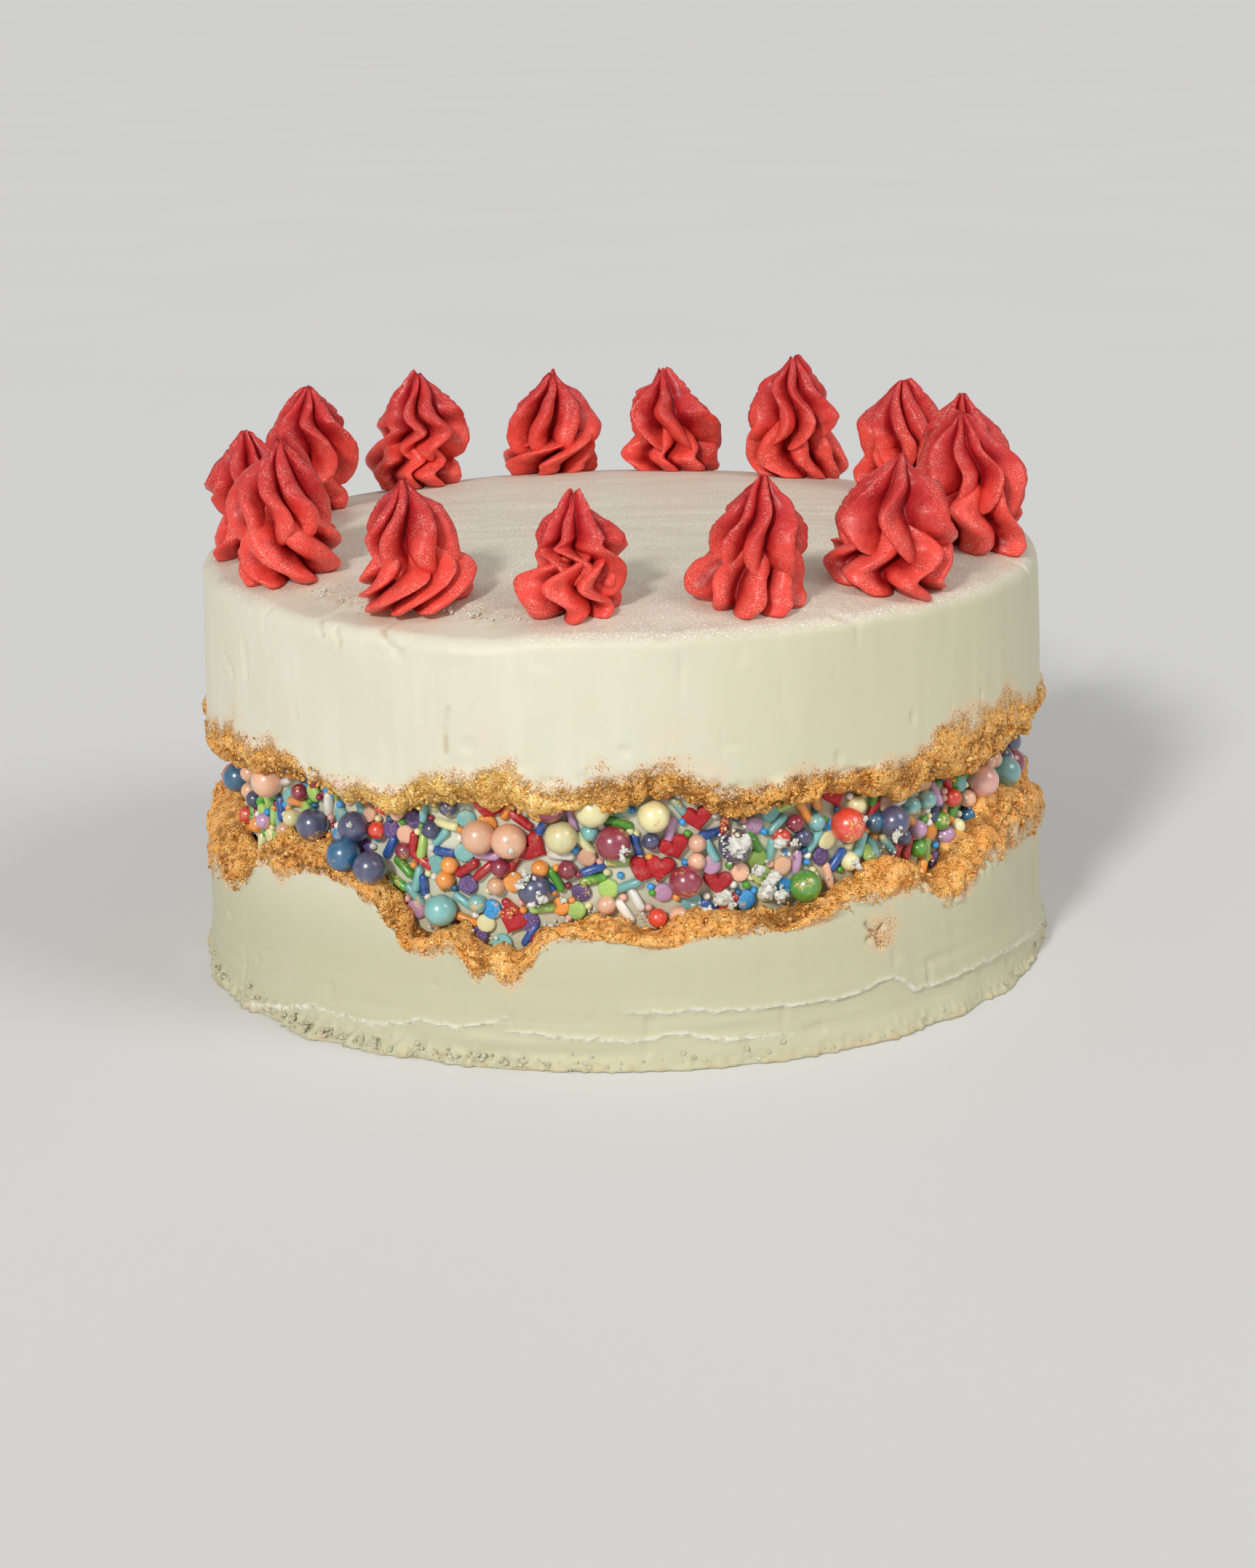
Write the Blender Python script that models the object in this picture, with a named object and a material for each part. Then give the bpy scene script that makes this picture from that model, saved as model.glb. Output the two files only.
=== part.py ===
"""A round fault line cake: two coats of white buttercream with torn edges, a band of
sprinkles set in the gap between them, and a ring of piped swirls on top.

Sizes are in millimetres and are turned into metres where a mesh is made. A bearing is an
angle round the cake in degrees: 0 faces the viewer (-Y) and 90 is on the right (+X).
"""

import bisect
import math
import random

import bmesh
import bpy
from mathutils import Matrix, Vector

MM = 0.001
GAP = 0.35  # clearance between neighbouring pieces

# Cake body
SIDE_R_TOP = 105.5  # outer radius of the icing at the top rim
SIDE_R_BASE = 108.2  # outer radius of the icing near the foot
SIDE_OVAL = 0.8  # the cake is this much wider from left to right
SIDE_SPAN = 100.0  # height over which the side narrows
RIM_Z = 102.3  # height of the top's edge
CROWN = 6.0  # rise of the domed top above its edge
CROWN_R = 105.0
RIM_ROUND = 4.0
FOOT_FLARE = 1.3
FOOT_H = 9.0
FOOT_DRIFT = 4.5  # how far the smeared foot strays outwards between the four sides
BEARINGS = 84

# Cake band that shows between the coats
CORE_R = 98.0
CORE_LOW = 14.0
CORE_HIGH = 76.0
CORE_SIDES = 60

# Torn edges as (bearing, lip height, shoulder height): the lip is the inner end of the
# torn face beside the band, and the shoulder is where it meets the outer surface.
UPPER_TEAR = [
    (-85, 51.0, 64.0), (-70, 55.5, 67.0), (-55, 58.6, 70.1), (-43, 59.5, 66.8),
    (-36, 57.9, 67.0), (-30, 57.6, 65.7), (-23, 61.6, 71.7), (-15, 61.0, 72.8),
    (-11, 59.6, 72.2), (-7, 59.8, 68.7), (-3, 60.7, 71.5), (5, 64.5, 72.9),
    (15, 57.2, 68.9), (20, 58.8, 68.8), (31, 59.6, 67.7), (40, 55.6, 67.5),
    (45, 56.8, 70.6), (55, 55.9, 71.9), (66, 56.7, 70.0), (84, 58.0, 69.0),
]
LOWER_TEAR = [
    (-85, 42.0, 20.0), (-64, 33.6, 25.2), (-54, 44.3, 35.3), (-43, 46.4, 38.8),
    (-38, 42.0, 38.0), (-34, 38.0, 35.0), (-31.5, 33.5, 30.0), (-29, 28.4, 25.0),
    (-26, 28.6, 24.4), (-22.5, 30.2, 25.2), (-19.2, 27.4, 19.0), (-17.8, 26.4, 23.0),
    (-15.6, 26.0, 20.2), (-12.5, 28.0, 23.0), (-10.5, 31.0, 28.4), (-7, 34.6, 31.0),
    (-3, 35.6, 31.4), (3, 32.6, 29.8), (10, 35.6, 31.0), (20, 35.4, 30.3),
    (26, 35.7, 31.8), (31, 38.8, 33.0), (37, 42.2, 34.4), (41, 39.6, 31.7),
    (46, 34.2, 25.4), (53, 41.1, 29.1), (62, 47.8, 32.1), (73, 46.5, 28.8),
    (84, 41.0, 27.0),
]
BACK_STEP = 9.0  # spacing of the drawn knots round the back
LIP_R = 100.4

# Swirls: a wide base tier and a crown tier that rises from its middle
SWIRL_R = 13.4
RIDGES = 7
# Each tier as (share of the height at its foot, at its top, radius by share of the tier)
TIERS = {
    "base": (0.0, 0.52, [
        (0.0, 0.88), (0.12, 0.97), (0.34, 1.0), (0.55, 0.90), (0.72, 0.70), (0.88, 0.45), (1.0, 0.2),
    ]),
    "crown": (0.29, 1.0, [
        (0.0, 0.26), (0.04, 0.60), (0.10, 0.80), (0.21, 0.91), (0.37, 0.90), (0.55, 0.76),
        (0.73, 0.54), (0.88, 0.30), (1.0, 0.08),
    ]),
}
# Rings that show, as (tier, share of the tier, depth of the grooves as a share of the radius)
SWIRL_RINGS = [
    ("base", 0.0, 0.34), ("base", 0.12, 0.40), ("base", 0.34, 0.42), ("base", 0.56, 0.20),
    ("crown", 0.10, 0.24), ("crown", 0.20, 0.42), ("crown", 0.34, 0.46), ("crown", 0.48, 0.46),
    ("crown", 0.62, 0.46), ("crown", 0.75, 0.46), ("crown", 0.87, 0.48), ("crown", 0.97, 0.5),
]
# How the ridges turn on their way up the base and the crown, as (share of the tier, radians)
STYLES = {
    "coil": ([(0.0, 0.0), (0.25, 0.45), (0.55, 1.05), (0.8, 1.3), (1.0, 1.35)],
             [(0.0, 0.0), (0.2, -0.30), (0.5, 0.0), (0.8, 0.32), (1.0, 0.3)]),
    "zigzag": ([(0.0, 0.0), (0.25, 0.42), (0.5, -0.12), (0.8, 0.35), (1.0, 0.4)],
               [(0.0, 0.0), (0.16, 0.42), (0.34, -0.22), (0.52, 0.12), (0.75, 0.0), (1.0, 0.0)]),
    "bend": ([(0.0, 0.0), (0.3, -0.4), (0.6, -0.55), (1.0, -0.5)],
             [(0.0, 0.0), (0.18, 0.42), (0.4, 0.30), (0.62, -0.12), (0.85, 0.0), (1.0, 0.0)]),
    "pull": ([(0.0, 0.0), (0.3, 0.42), (0.6, 0.1), (1.0, 0.2)],
             [(0.0, 0.0), (0.2, 0.5), (0.42, 0.72), (0.65, 0.45), (0.85, 0.5), (1.0, 0.5)]),
}
# bearing, ring radius, height, width share, lean right, lean back, start of coil, turns,
# the way its ridges turn, and the hand of the coil
SWIRLS = [
    (-83.0, 91.0, 30.0, 0.98, -3.0, 1.0, 200, 1.6, "pull", 1),
    (-113.8, 91.0, 34.0, 1.00, 1.8, 0.0, 40, 1.5, "bend", 1),
    (-142.0, 91.0, 31.9, 0.94, 1.5, 0.5, 310, 1.7, "zigzag", -1),
    (-168.0, 91.0, 28.8, 1.03, 1.2, 0.0, 120, 1.4, "coil", 1),
    (169.5, 91.0, 28.3, 1.06, -3.2, 0.5, 260, 1.6, "pull", -1),
    (146.2, 91.0, 33.9, 1.05, -0.9, 0.0, 20, 1.5, "bend", 1),
    (121.2, 91.0, 30.6, 1.02, -0.3, 0.5, 170, 1.4, "coil", -1),
    (99.0, 91.0, 31.9, 0.98, -0.4, 0.0, 330, 1.6, "bend", -1),
    (74.5, 91.0, 33.2, 1.02, -3.0, 0.0, 90, 1.4, "pull", 1),
    (43.0, 90.5, 30.4, 1.10, 4.0, -0.5, 230, 1.5, "pull", -1),
    (18.8, 89.7, 29.1, 0.95, 3.7, 0.0, 285, 1.6, "bend", -1),
    (-7.0, 88.6, 26.6, 0.85, 0.6, 0.0, 60, 1.9, "zigzag", 1),
    (-32.4, 89.0, 28.6, 0.94, -1.9, 0.5, 190, 1.5, "coil", 1),
    (-62.0, 90.6, 33.6, 0.98, -0.9, 0.0, 140, 1.6, "coil", -1),
]

# Sprinkles as (kind, bearing, height): the large ones that show
PLACED = [
    ("pearl", -62.3, 52.0), ("pearl", -49.2, 51.5), ("pearl", -39.0, 50.2),
    ("pearl", -33.5, 47.5), ("pearl", -26.0, 36.6), ("pearl", -20.1, 51.8),
    ("pearl", -15.0, 51.6), ("pearl", -8.2, 53.4), ("pearl", -1.9, 52.5),
    ("pearl", 3.9, 57.8), ("pearl", 7.9, 43.4), ("pearl", 14.9, 50.0),
    ("pearl", -12.9, 41.2), ("pearl", 24.4, 43.2), ("pearl", 31.5, 50.0),
    ("pearl", 40.4, 48.8), ("pearl", 62.6, 52.3),
    ("heart", 10.0, 54.4), ("heart", 3.6, 47.6), ("heart", 12.6, 41.8),
    ("heart", 29.0, 43.8), ("heart", -3.2, 43.0), ("heart", -24.6, 45.6),
    ("heart", -58.0, 47.0), ("heart", 22.6, 52.0), ("heart", 46.5, 43.4),
]
KINDS = {
    # size across, length, count drawn after the placed ones
    "pearl": (8.0, 8.0, 22),
    "heart": (7.2, 6.6, 12),
    "bead": (4.4, 4.4, 21),
    "rod": (2.4, 6.6, 18),
    "disc": (4.8, 4.8, 10),
}
DEPTHS = {"pearl": 8.0, "bead": 4.4, "rod": 2.4, "disc": 1.7, "heart": 2.6}
SINK = 1.0  # how far a sprinkle is pressed into the band
SPRINKLE_SEED = 41

# Colour and roughness of each material
COLOURS = {
    "white_icing": ((0.80, 0.78, 0.64), 0.55),
    "sprinkle_band": ((0.62, 0.42, 0.40), 0.40),
    "red_icing": ((0.72, 0.07, 0.05), 0.45),
}


def between(knots, at, column):
    """The value in this column of sorted knots, blended smoothly at a position."""
    places = [knot[0] for knot in knots]
    after = min(max(bisect.bisect_right(places, at), 1), len(knots) - 1)
    low, high = knots[after - 1], knots[after]
    share = min(max((at - low[0]) / (high[0] - low[0]), 0.0), 1.0)
    share = share * share * (3 - 2 * share)
    return low[column] + (high[column] - low[column]) * share


def closed_tear(front, seed):
    """Knots all the way round: the front ones as seen, the back ones drawn alike."""
    rng = random.Random(seed)
    knots = list(front)
    lips = [knot[1] for knot in front]
    rise = [knot[2] - knot[1] for knot in front]
    bearing = front[-1][0] + BACK_STEP
    while bearing < front[0][0] + 360 - BACK_STEP / 2:
        lip = rng.choice(lips) + rng.uniform(-1.5, 1.5)
        knots.append((bearing, lip, lip + rng.choice(rise)))
        bearing += BACK_STEP * rng.uniform(0.7, 1.3)
    first = front[0]
    knots.append((first[0] + 360, first[1], first[2]))
    return knots


UPPER = closed_tear(UPPER_TEAR, 5)
LOWER = closed_tear(LOWER_TEAR, 8)


def ragged(bearing, seed):
    """A periodic unevenness between about -1 and 1."""
    rng = random.Random(seed)
    total = 0.0
    for _ in range(9):
        waves = rng.randint(5, 38)
        total += math.sin(math.radians(bearing * waves) + rng.uniform(0, 6.283))
    return total / 4.5


def around(bearing):
    """The bearing moved into the span that the tear knots cover."""
    return (bearing + 85.0) % 360.0 - 85.0


def upper_edge(bearing):
    at = around(bearing)
    rough = ragged(bearing, 21)
    return between(UPPER, at, 1) + 0.9 * rough, between(UPPER, at, 2) + 0.8 * ragged(bearing, 22)


def lower_edge(bearing):
    at = around(bearing)
    rough = ragged(bearing, 31)
    return between(LOWER, at, 1) + 0.9 * rough, between(LOWER, at, 2) + 0.8 * ragged(bearing, 32)


def side_radius(bearing, z):
    """Outer radius of the iced side: slightly tapered, oval and uneven."""
    share = min(max(z / SIDE_SPAN, 0.0), 1.0)
    radius = SIDE_R_BASE + (SIDE_R_TOP - SIDE_R_BASE) * share
    radius += SIDE_OVAL * math.sin(math.radians(bearing)) ** 2
    return radius + 0.35 * math.sin(math.radians(4 * bearing) + z / 30.0)


def foot_radius(bearing, z):
    """Outer radius near the foot, where the icing is smeared outwards."""
    share = max(1.0 - z / FOOT_H, 0.0) ** 2
    turn = math.sin(math.radians(2 * bearing)) ** 2
    drift = FOOT_DRIFT * turn * (0.55 + 0.45 * ragged(bearing, 43))
    left = 1.0 if around(bearing) < 0 else 0.55
    return side_radius(bearing, z) + share * (FOOT_FLARE + max(drift, -0.4) * left)


def top_height(x, y):
    """Height of the domed top."""
    away = min(math.hypot(x, y) / CROWN_R, 1.1)
    return RIM_Z + CROWN * (1.0 - away**4)


def place(bearing, radius, z):
    turn = math.radians(bearing)
    return Vector((radius * math.sin(turn), -radius * math.cos(turn), z))


def make_object(name, points, faces, cake):
    mesh = bpy.data.meshes.new(name)
    mesh.from_pydata([point * MM for point in points], [], faces)
    made = bpy.data.objects.new(name, mesh)
    cake.objects.link(made)
    return made


def ringed_faces(rings, count, first, last):
    """Faces of a closed body of stacked rings, capped by one point at each end."""
    faces = []
    for ring in range(rings - 1):
        for step in range(count):
            a = ring * count + step
            b = ring * count + (step + 1) % count
            faces.append((a, b, b + count))
            faces.append((a, b + count, a + count))
    for step in range(count):
        onward = (step + 1) % count
        faces.append((first, onward, step))
        top = (rings - 1) * count
        faces.append((last, top + step, top + onward))
    return faces


def turned_body(name, profile, low_z, high_z, cake):
    """A loft through a profile of (radius, height) pairs that changes with the bearing."""
    count = BEARINGS
    bearings = [360.0 * step / count for step in range(count)]
    columns = [profile(bearing) for bearing in bearings]
    rings = len(columns[0])
    points = []
    for ring in range(rings):
        for bearing, column in zip(bearings, columns):
            points.append(place(bearing, column[ring][0], column[ring][1]))
    first = len(points)
    points.append(Vector((0, 0, low_z)))
    points.append(Vector((0, 0, high_z)))
    return make_object(name, points, ringed_faces(rings, count, first, first + 1), cake)


def torn_middle(bearing, lip, shoulder, seed):
    """A point part way over the torn face, pushed in or out by its unevenness."""
    rough = ragged(bearing, seed)
    z = lip + (shoulder - lip) * (0.34 + 0.08 * rough)
    radius = LIP_R + (side_radius(bearing, z) - LIP_R) * (0.82 + 0.10 * rough)
    return radius, z


def lower_profile(bearing):
    """Lower coat: foot, side, torn top edge, and the floor under the band."""
    lip, shoulder = lower_edge(bearing)
    inner = CORE_R + GAP
    edge = LIP_R + 0.7 * ragged(bearing, 33)
    return [
        (foot_radius(bearing, 0.0) - 0.6, 0.0),
        (foot_radius(bearing, 1.0), 1.0),
        (foot_radius(bearing, 4.0), 4.0),
        (foot_radius(bearing, 8.5), 8.5),
        (side_radius(bearing, shoulder), shoulder),
        torn_middle(bearing, lip, shoulder, 34),
        (edge, lip),
        (inner, lip - 1.2),
        (inner, CORE_LOW - GAP),
    ]


def upper_profile(bearing):
    """Upper coat: the ceiling over the band, torn lower edge, side, rim and top."""
    lip, shoulder = upper_edge(bearing)
    inner = CORE_R + GAP
    edge = LIP_R + 0.7 * ragged(bearing, 23)
    rim = side_radius(bearing, RIM_Z) + 0.4 * ragged(bearing, 24)
    profile = [
        (inner, CORE_HIGH + GAP),
        (inner, lip + 1.2),
        (edge, lip),
        torn_middle(bearing, lip, shoulder, 24),
        (side_radius(bearing, shoulder), shoulder),
        (side_radius(bearing, 88.0), 88.0),
    ]
    corner = rim - RIM_ROUND
    centre_z = top_height(corner, 0.0) - RIM_ROUND
    for angle in (5, 45, 85):
        turn = math.radians(angle)
        radius = corner + RIM_ROUND * math.cos(turn)
        profile.append((radius, centre_z + RIM_ROUND * math.sin(turn)))
    for radius in (90.0, 72.0, 45.0):
        profile.append((radius, top_height(radius, 0.0)))
    return profile


def step_between(low, high, value):
    """0 below low, 1 above high, and smooth in between."""
    share = min(max((value - low) / (high - low), 0.0), 1.0)
    return share * share * (3 - 2 * share)


def tier_traits(index, tier):
    """What is drawn for a tier: how far each ridge reaches out, how it rises, and one phase."""
    rng = random.Random(900 + 2 * index + (tier == "base"))
    lobes = [rng.uniform(-0.10, 0.13) for _ in range(RIDGES)]
    stands = [rng.uniform(-1.2, 2.6) for _ in range(RIDGES)]
    return lobes, stands, rng.uniform(0, 6.283)


def ridge_turn(spec, index, tier, part, angle):
    """How far a point of a tier is turned from its place round the swirl."""
    style, hand = spec[8:]
    phase = tier_traits(index, tier)[2]
    base = tier == "base"
    twist = hand * between(STYLES[style][0 if base else 1], part, 1)
    if not base:
        twist += phase
    uneven = 0.16 * math.sin(angle + phase) + 0.10 * math.sin(2 * angle + 2 * phase)
    return uneven + twist


def swirl_point(spec, index, ring, ridge, crest):
    """A point on a ring: on a ridge where crest is 1, and in the groove after it where it is 0."""
    bearing, ring_r, height, width, lean_x, lean_y, start, turns, style, hand = spec
    tier, part, depth = ring
    foot, top, profile = TIERS[tier]
    lobes, stands, phase = tier_traits(index, tier)
    base = tier == "base"
    share = foot + (top - foot) * part
    fade = 1.0 - share
    angle = 6.283185 * (ridge + 0.5 - 0.5 * crest) / RIDGES
    coil = math.radians(start) + hand * math.radians(360.0 * turns) * share
    drift = 1.8 * fade**1.1 * min(max(share / 0.10, 0.4), 1.0)
    facing = math.sin(angle - math.radians(start) - 1.2)
    grow = 1.0 + lobes[ridge] * crest + 0.08 * facing * crest * (1.0 if base else -0.6)
    radius = SWIRL_R * width * between(profile, part, 1) * grow * (1.0 - depth * (1.0 - crest))
    turn = angle + ridge_turn(spec, index, tier, part, angle)
    centre = place(bearing, ring_r, 0.0)
    x = centre.x + drift * math.cos(coil) + lean_x * share**1.3 + radius * math.cos(turn)
    y = centre.y + drift * math.sin(coil) + lean_y * share**1.3 + radius * math.sin(turn)
    rise = share * height
    if base:
        rise += 0.5 * stands[ridge] * crest * step_between(0.3, 0.9, part)
    sit = top_height(centre.x, centre.y)
    sit += (top_height(x, y) - sit) * fade**3
    return Vector((x, y, sit + GAP + rise))


def crown_shift(spec, index):
    """How many places the crown's points move round, so that they join the base's squarely."""
    below = ridge_turn(spec, index, "base", 0.56, 0.0)
    above = ridge_turn(spec, index, "crown", 0.10, 0.0)
    return 2 * round((above - below) / (6.283185 / RIDGES))


def make_swirl(index, spec, cake):
    """A loft of star-shaped rings from the foot of the swirl to its peak."""
    count = 2 * RIDGES
    shift = crown_shift(spec, index)
    points = []
    for ring in SWIRL_RINGS:
        row = []
        for step in range(count):
            row.append(swirl_point(spec, index, ring, step // 2, 1.0 - step % 2))
        moved = 0 if ring[0] == "base" else shift
        points += [row[(step - moved) % count] for step in range(count)]
    first = len(points)
    bottom = sum(points[:count], Vector()) / count
    bottom.z = top_height(bottom.x, bottom.y) + GAP
    tip = sum(points[-count:], Vector()) / count
    tip.z += 0.03 * spec[2]
    points += [bottom, tip]
    faces = ringed_faces(len(SWIRL_RINGS), count, first, first + 1)
    return make_object(f"swirl_{index + 1:02d}", points, faces, cake)


def ball(size, length):
    """A bead with few sides."""
    shape = bmesh.new()
    bmesh.ops.create_uvsphere(shape, u_segments=7, v_segments=4, radius=size / 2)
    return shape


def rod(size, length):
    """A short rounded rod lying along its own x."""
    shape = bmesh.new()
    bmesh.ops.create_uvsphere(shape, u_segments=6, v_segments=3, radius=size / 2)
    for vert in shape.verts:
        vert.co.z += math.copysign((length - size) / 2, vert.co.z)
    bmesh.ops.rotate(shape, verts=shape.verts, matrix=Matrix.Rotation(math.pi / 2, 3, "Y"))
    return shape


def disc(size, length):
    """A flat round sprinkle."""
    shape = bmesh.new()
    bmesh.ops.create_cone(
        shape, cap_ends=True, segments=8, radius1=size / 2, radius2=size / 2, depth=DEPTHS["disc"]
    )
    return shape


def heart(size, length):
    """A thick heart: its outline is made a face and extruded."""
    half = size / 2
    thick = DEPTHS["heart"]
    right = [(0.0, 0.45), (0.45, 0.85), (0.95, 0.65), (1.0, 0.15), (0.55, -0.45), (0.0, -0.95)]
    outline = right + [(-x, y) for x, y in reversed(right[1:-1])]
    shape = bmesh.new()
    corners = [shape.verts.new((x * half, y * half, -thick / 2)) for x, y in outline]
    base = shape.faces.new(corners)
    made = bmesh.ops.extrude_face_region(shape, geom=[base])
    raised = [item for item in made["geom"] if isinstance(item, bmesh.types.BMVert)]
    bmesh.ops.translate(shape, verts=raised, vec=(0, 0, thick))
    bmesh.ops.recalc_face_normals(shape, faces=shape.faces)
    return shape


SHAPES = {"pearl": ball, "bead": ball, "rod": rod, "disc": disc, "heart": heart}


def clear_of_edges(bearing, z, reach):
    """Whether a sprinkle of this reach stays clear of both torn edges."""
    span = math.degrees((reach + 1.2) / CORE_R)
    for step in range(-4, 5):
        at = bearing + span * step / 4
        if z + reach + 1.0 > upper_edge(at)[0] or z - reach - 1.0 < lower_edge(at)[0]:
            return False
    return True


def apart(taken, bearing, z, reach):
    for other_bearing, other_z, other_reach in taken:
        along = (bearing - other_bearing + 180.0) % 360.0 - 180.0
        if math.hypot(math.radians(along) * CORE_R, z - other_z) < reach + other_reach + 0.3:
            return False
    return True


def sprinkle_places():
    """Every sprinkle as (kind, bearing, height, turn), the largest first."""
    rng = random.Random(SPRINKLE_SEED)
    taken = []
    chosen = []
    for kind, bearing, z in PLACED:
        reach = KINDS[kind][0] / 2
        if clear_of_edges(bearing, z, reach) and apart(taken, bearing, z, reach):
            taken.append((bearing, z, reach))
            chosen.append((kind, bearing, z, rng.uniform(-40, 40)))
    for kind, (size, length, count) in KINDS.items():
        reach = max(size, length) / 2
        wanted = count
        for _ in range(4000):
            if not wanted:
                break
            big = kind in ("pearl", "heart")
            bearing = rng.uniform(70, 290) if big else rng.uniform(-180, 180)
            z = rng.uniform(28, 60)
            if clear_of_edges(bearing, z, reach) and apart(taken, bearing, z, reach):
                taken.append((bearing, z, reach))
                chosen.append((kind, bearing, z, rng.uniform(0, 360)))
                wanted -= 1
    return chosen


def make_sprinkle(number, kind, bearing, z, turn):
    """One sprinkle, lying on the band and pressed a little into it."""
    size, length, _ = KINDS[kind]
    outward = place(bearing, 1.0, 0.0)
    along = Vector((0, 0, 1)).cross(outward)
    frame = Matrix((along, outward.cross(along), outward)).transposed()
    sunk = min(SINK, DEPTHS[kind] * 0.35)
    seat = place(bearing, CORE_R + DEPTHS[kind] / 2 - sunk, z)
    moved = Matrix.Translation(seat) @ (frame @ Matrix.Rotation(math.radians(turn), 3, "Z")).to_4x4()
    shape = SHAPES[kind](size, length)
    shape.transform(Matrix.Scale(MM, 4) @ moved)
    mesh = bpy.data.meshes.new(f"sprinkle_{number}")
    shape.to_mesh(mesh)
    shape.free()
    return bpy.data.objects.new(f"sprinkle_{number}", mesh)


def make_core(cake):
    """The band of the cake with its sprinkles fused on."""
    shape = bmesh.new()
    bmesh.ops.create_cone(
        shape,
        cap_ends=True,
        segments=CORE_SIDES,
        radius1=CORE_R * MM,
        radius2=CORE_R * MM,
        depth=(CORE_HIGH - CORE_LOW) * MM,
    )
    bmesh.ops.translate(shape, verts=shape.verts, vec=(0, 0, (CORE_HIGH + CORE_LOW) / 2 * MM))
    mesh = bpy.data.meshes.new("cake_band")
    shape.to_mesh(mesh)
    shape.free()
    core = bpy.data.objects.new("cake_band", mesh)
    cake.objects.link(core)
    holder = bpy.data.collections.new("sprinkles")
    bpy.context.scene.collection.children.link(holder)
    for number, (kind, bearing, z, turn) in enumerate(sprinkle_places()):
        holder.objects.link(make_sprinkle(number, kind, bearing, z, turn))
    union = core.modifiers.new("fuse", "BOOLEAN")
    union.operation = "UNION"
    union.operand_type = "COLLECTION"
    union.collection = holder
    union.solver = "MANIFOLD"
    bpy.context.view_layer.objects.active = core
    core.select_set(True)
    bpy.ops.object.modifier_apply(modifier=union.name)
    for piece in list(holder.objects):
        bpy.data.objects.remove(piece)
    bpy.data.collections.remove(holder)
    return core


def finish(made, name):
    """Gives a piece its material and smooth shading with sharp creases."""
    colour, rough = COLOURS[name]
    material = bpy.data.materials.get(name)
    if material is None:
        material = bpy.data.materials.new(name)
        material.use_nodes = True
        shader = material.node_tree.nodes["Principled BSDF"]
        shader.inputs["Base Color"].default_value = (*colour, 1.0)
        shader.inputs["Roughness"].default_value = rough
    made.data.materials.clear()
    made.data.materials.append(material)
    made.data.shade_smooth()
    made.data.set_sharp_from_angle(angle=math.radians(50))


def main():
    for old in list(bpy.data.objects):
        bpy.data.objects.remove(old)
    cake = bpy.data.collections.new("fault_line_cake")
    bpy.context.scene.collection.children.link(cake)
    lower = turned_body("icing_lower", lower_profile, 0.0, CORE_LOW - GAP, cake)
    upper = turned_body("icing_upper", upper_profile, CORE_HIGH + GAP, RIM_Z + CROWN, cake)
    finish(lower, "white_icing")
    finish(upper, "white_icing")
    finish(make_core(cake), "sprinkle_band")
    for index, spec in enumerate(SWIRLS):
        finish(make_swirl(index, spec, cake), "red_icing")


main()
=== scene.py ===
import math
import random

import bpy
import numpy as np
from mathutils import Matrix, Vector


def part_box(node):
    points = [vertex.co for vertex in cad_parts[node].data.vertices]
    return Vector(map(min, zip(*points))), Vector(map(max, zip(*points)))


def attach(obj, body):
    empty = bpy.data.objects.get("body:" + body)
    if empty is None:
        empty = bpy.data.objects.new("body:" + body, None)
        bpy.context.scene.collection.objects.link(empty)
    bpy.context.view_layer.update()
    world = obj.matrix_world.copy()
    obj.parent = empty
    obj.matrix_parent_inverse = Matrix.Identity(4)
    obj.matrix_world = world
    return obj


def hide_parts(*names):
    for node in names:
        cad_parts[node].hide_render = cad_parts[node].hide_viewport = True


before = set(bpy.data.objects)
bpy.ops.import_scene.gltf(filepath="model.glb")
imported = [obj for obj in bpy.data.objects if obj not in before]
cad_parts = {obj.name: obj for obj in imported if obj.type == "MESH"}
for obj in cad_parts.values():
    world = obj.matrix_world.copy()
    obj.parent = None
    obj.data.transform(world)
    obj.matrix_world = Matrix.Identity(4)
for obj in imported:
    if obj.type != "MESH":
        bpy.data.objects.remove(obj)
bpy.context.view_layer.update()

# Sizes are in millimetres and become metres where a mesh is made. A bearing is an angle round
# the cake in degrees: 0 faces the camera (-Y) and 90 is on the right (+X).
MM = 0.001

# Camera, as fitted to the photograph: its frame and focal length are in pixels
PHOTO_W = 1725
PHOTO_H = 2156
FOCAL = 4000.0
SENSOR = 36.0
CAMERA_AT = (-1.7, -735.475, 251.558)
PITCH = 0.283037
YAW = 0.0034586
ROLL = -0.0210135

# Cake body
SIDE_R_TOP = 105.5
SIDE_R_BASE = 108.2
SIDE_OVAL = 0.8
SIDE_SPAN = 100.0
RIM_Z = 102.3
CROWN = 6.0
CROWN_R = 105.0
RIM_ROUND = 4.0
FOOT_FLARE = 1.3
FOOT_H = 9.0
FOOT_DRIFT = 4.5
CORE_R = 98.0
CORE_LOW = 14.0
CORE_HIGH = 76.0
LIP_R = 100.4
GAP = 0.35
FRONT_COLUMNS = 640
BACK_COLUMNS = 180
FRONT_SPAN = 200.0  # degrees of the front, where columns lie closer
UPPER_SIDE_ROWS = 36
LOWER_SIDE_ROWS = 44
UPPER_TORN_ROWS = 24
LOWER_TORN_ROWS = 22
FOOT_ROWS = 12
FOOT_TOP = 8.5
RIM_ROWS = 10
TOP_ROWS = 31
TOP_MIDDLE = 1.2
RIM_FROM = 95.5  # where the side starts to turn over the rim
GOLD_BELOW = 94.0
BAND_COLUMNS = 420
BAND_ROWS = 44
BAND_SPAN = (20.0, 72.0)
BAND_STAIN = 0.7

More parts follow.
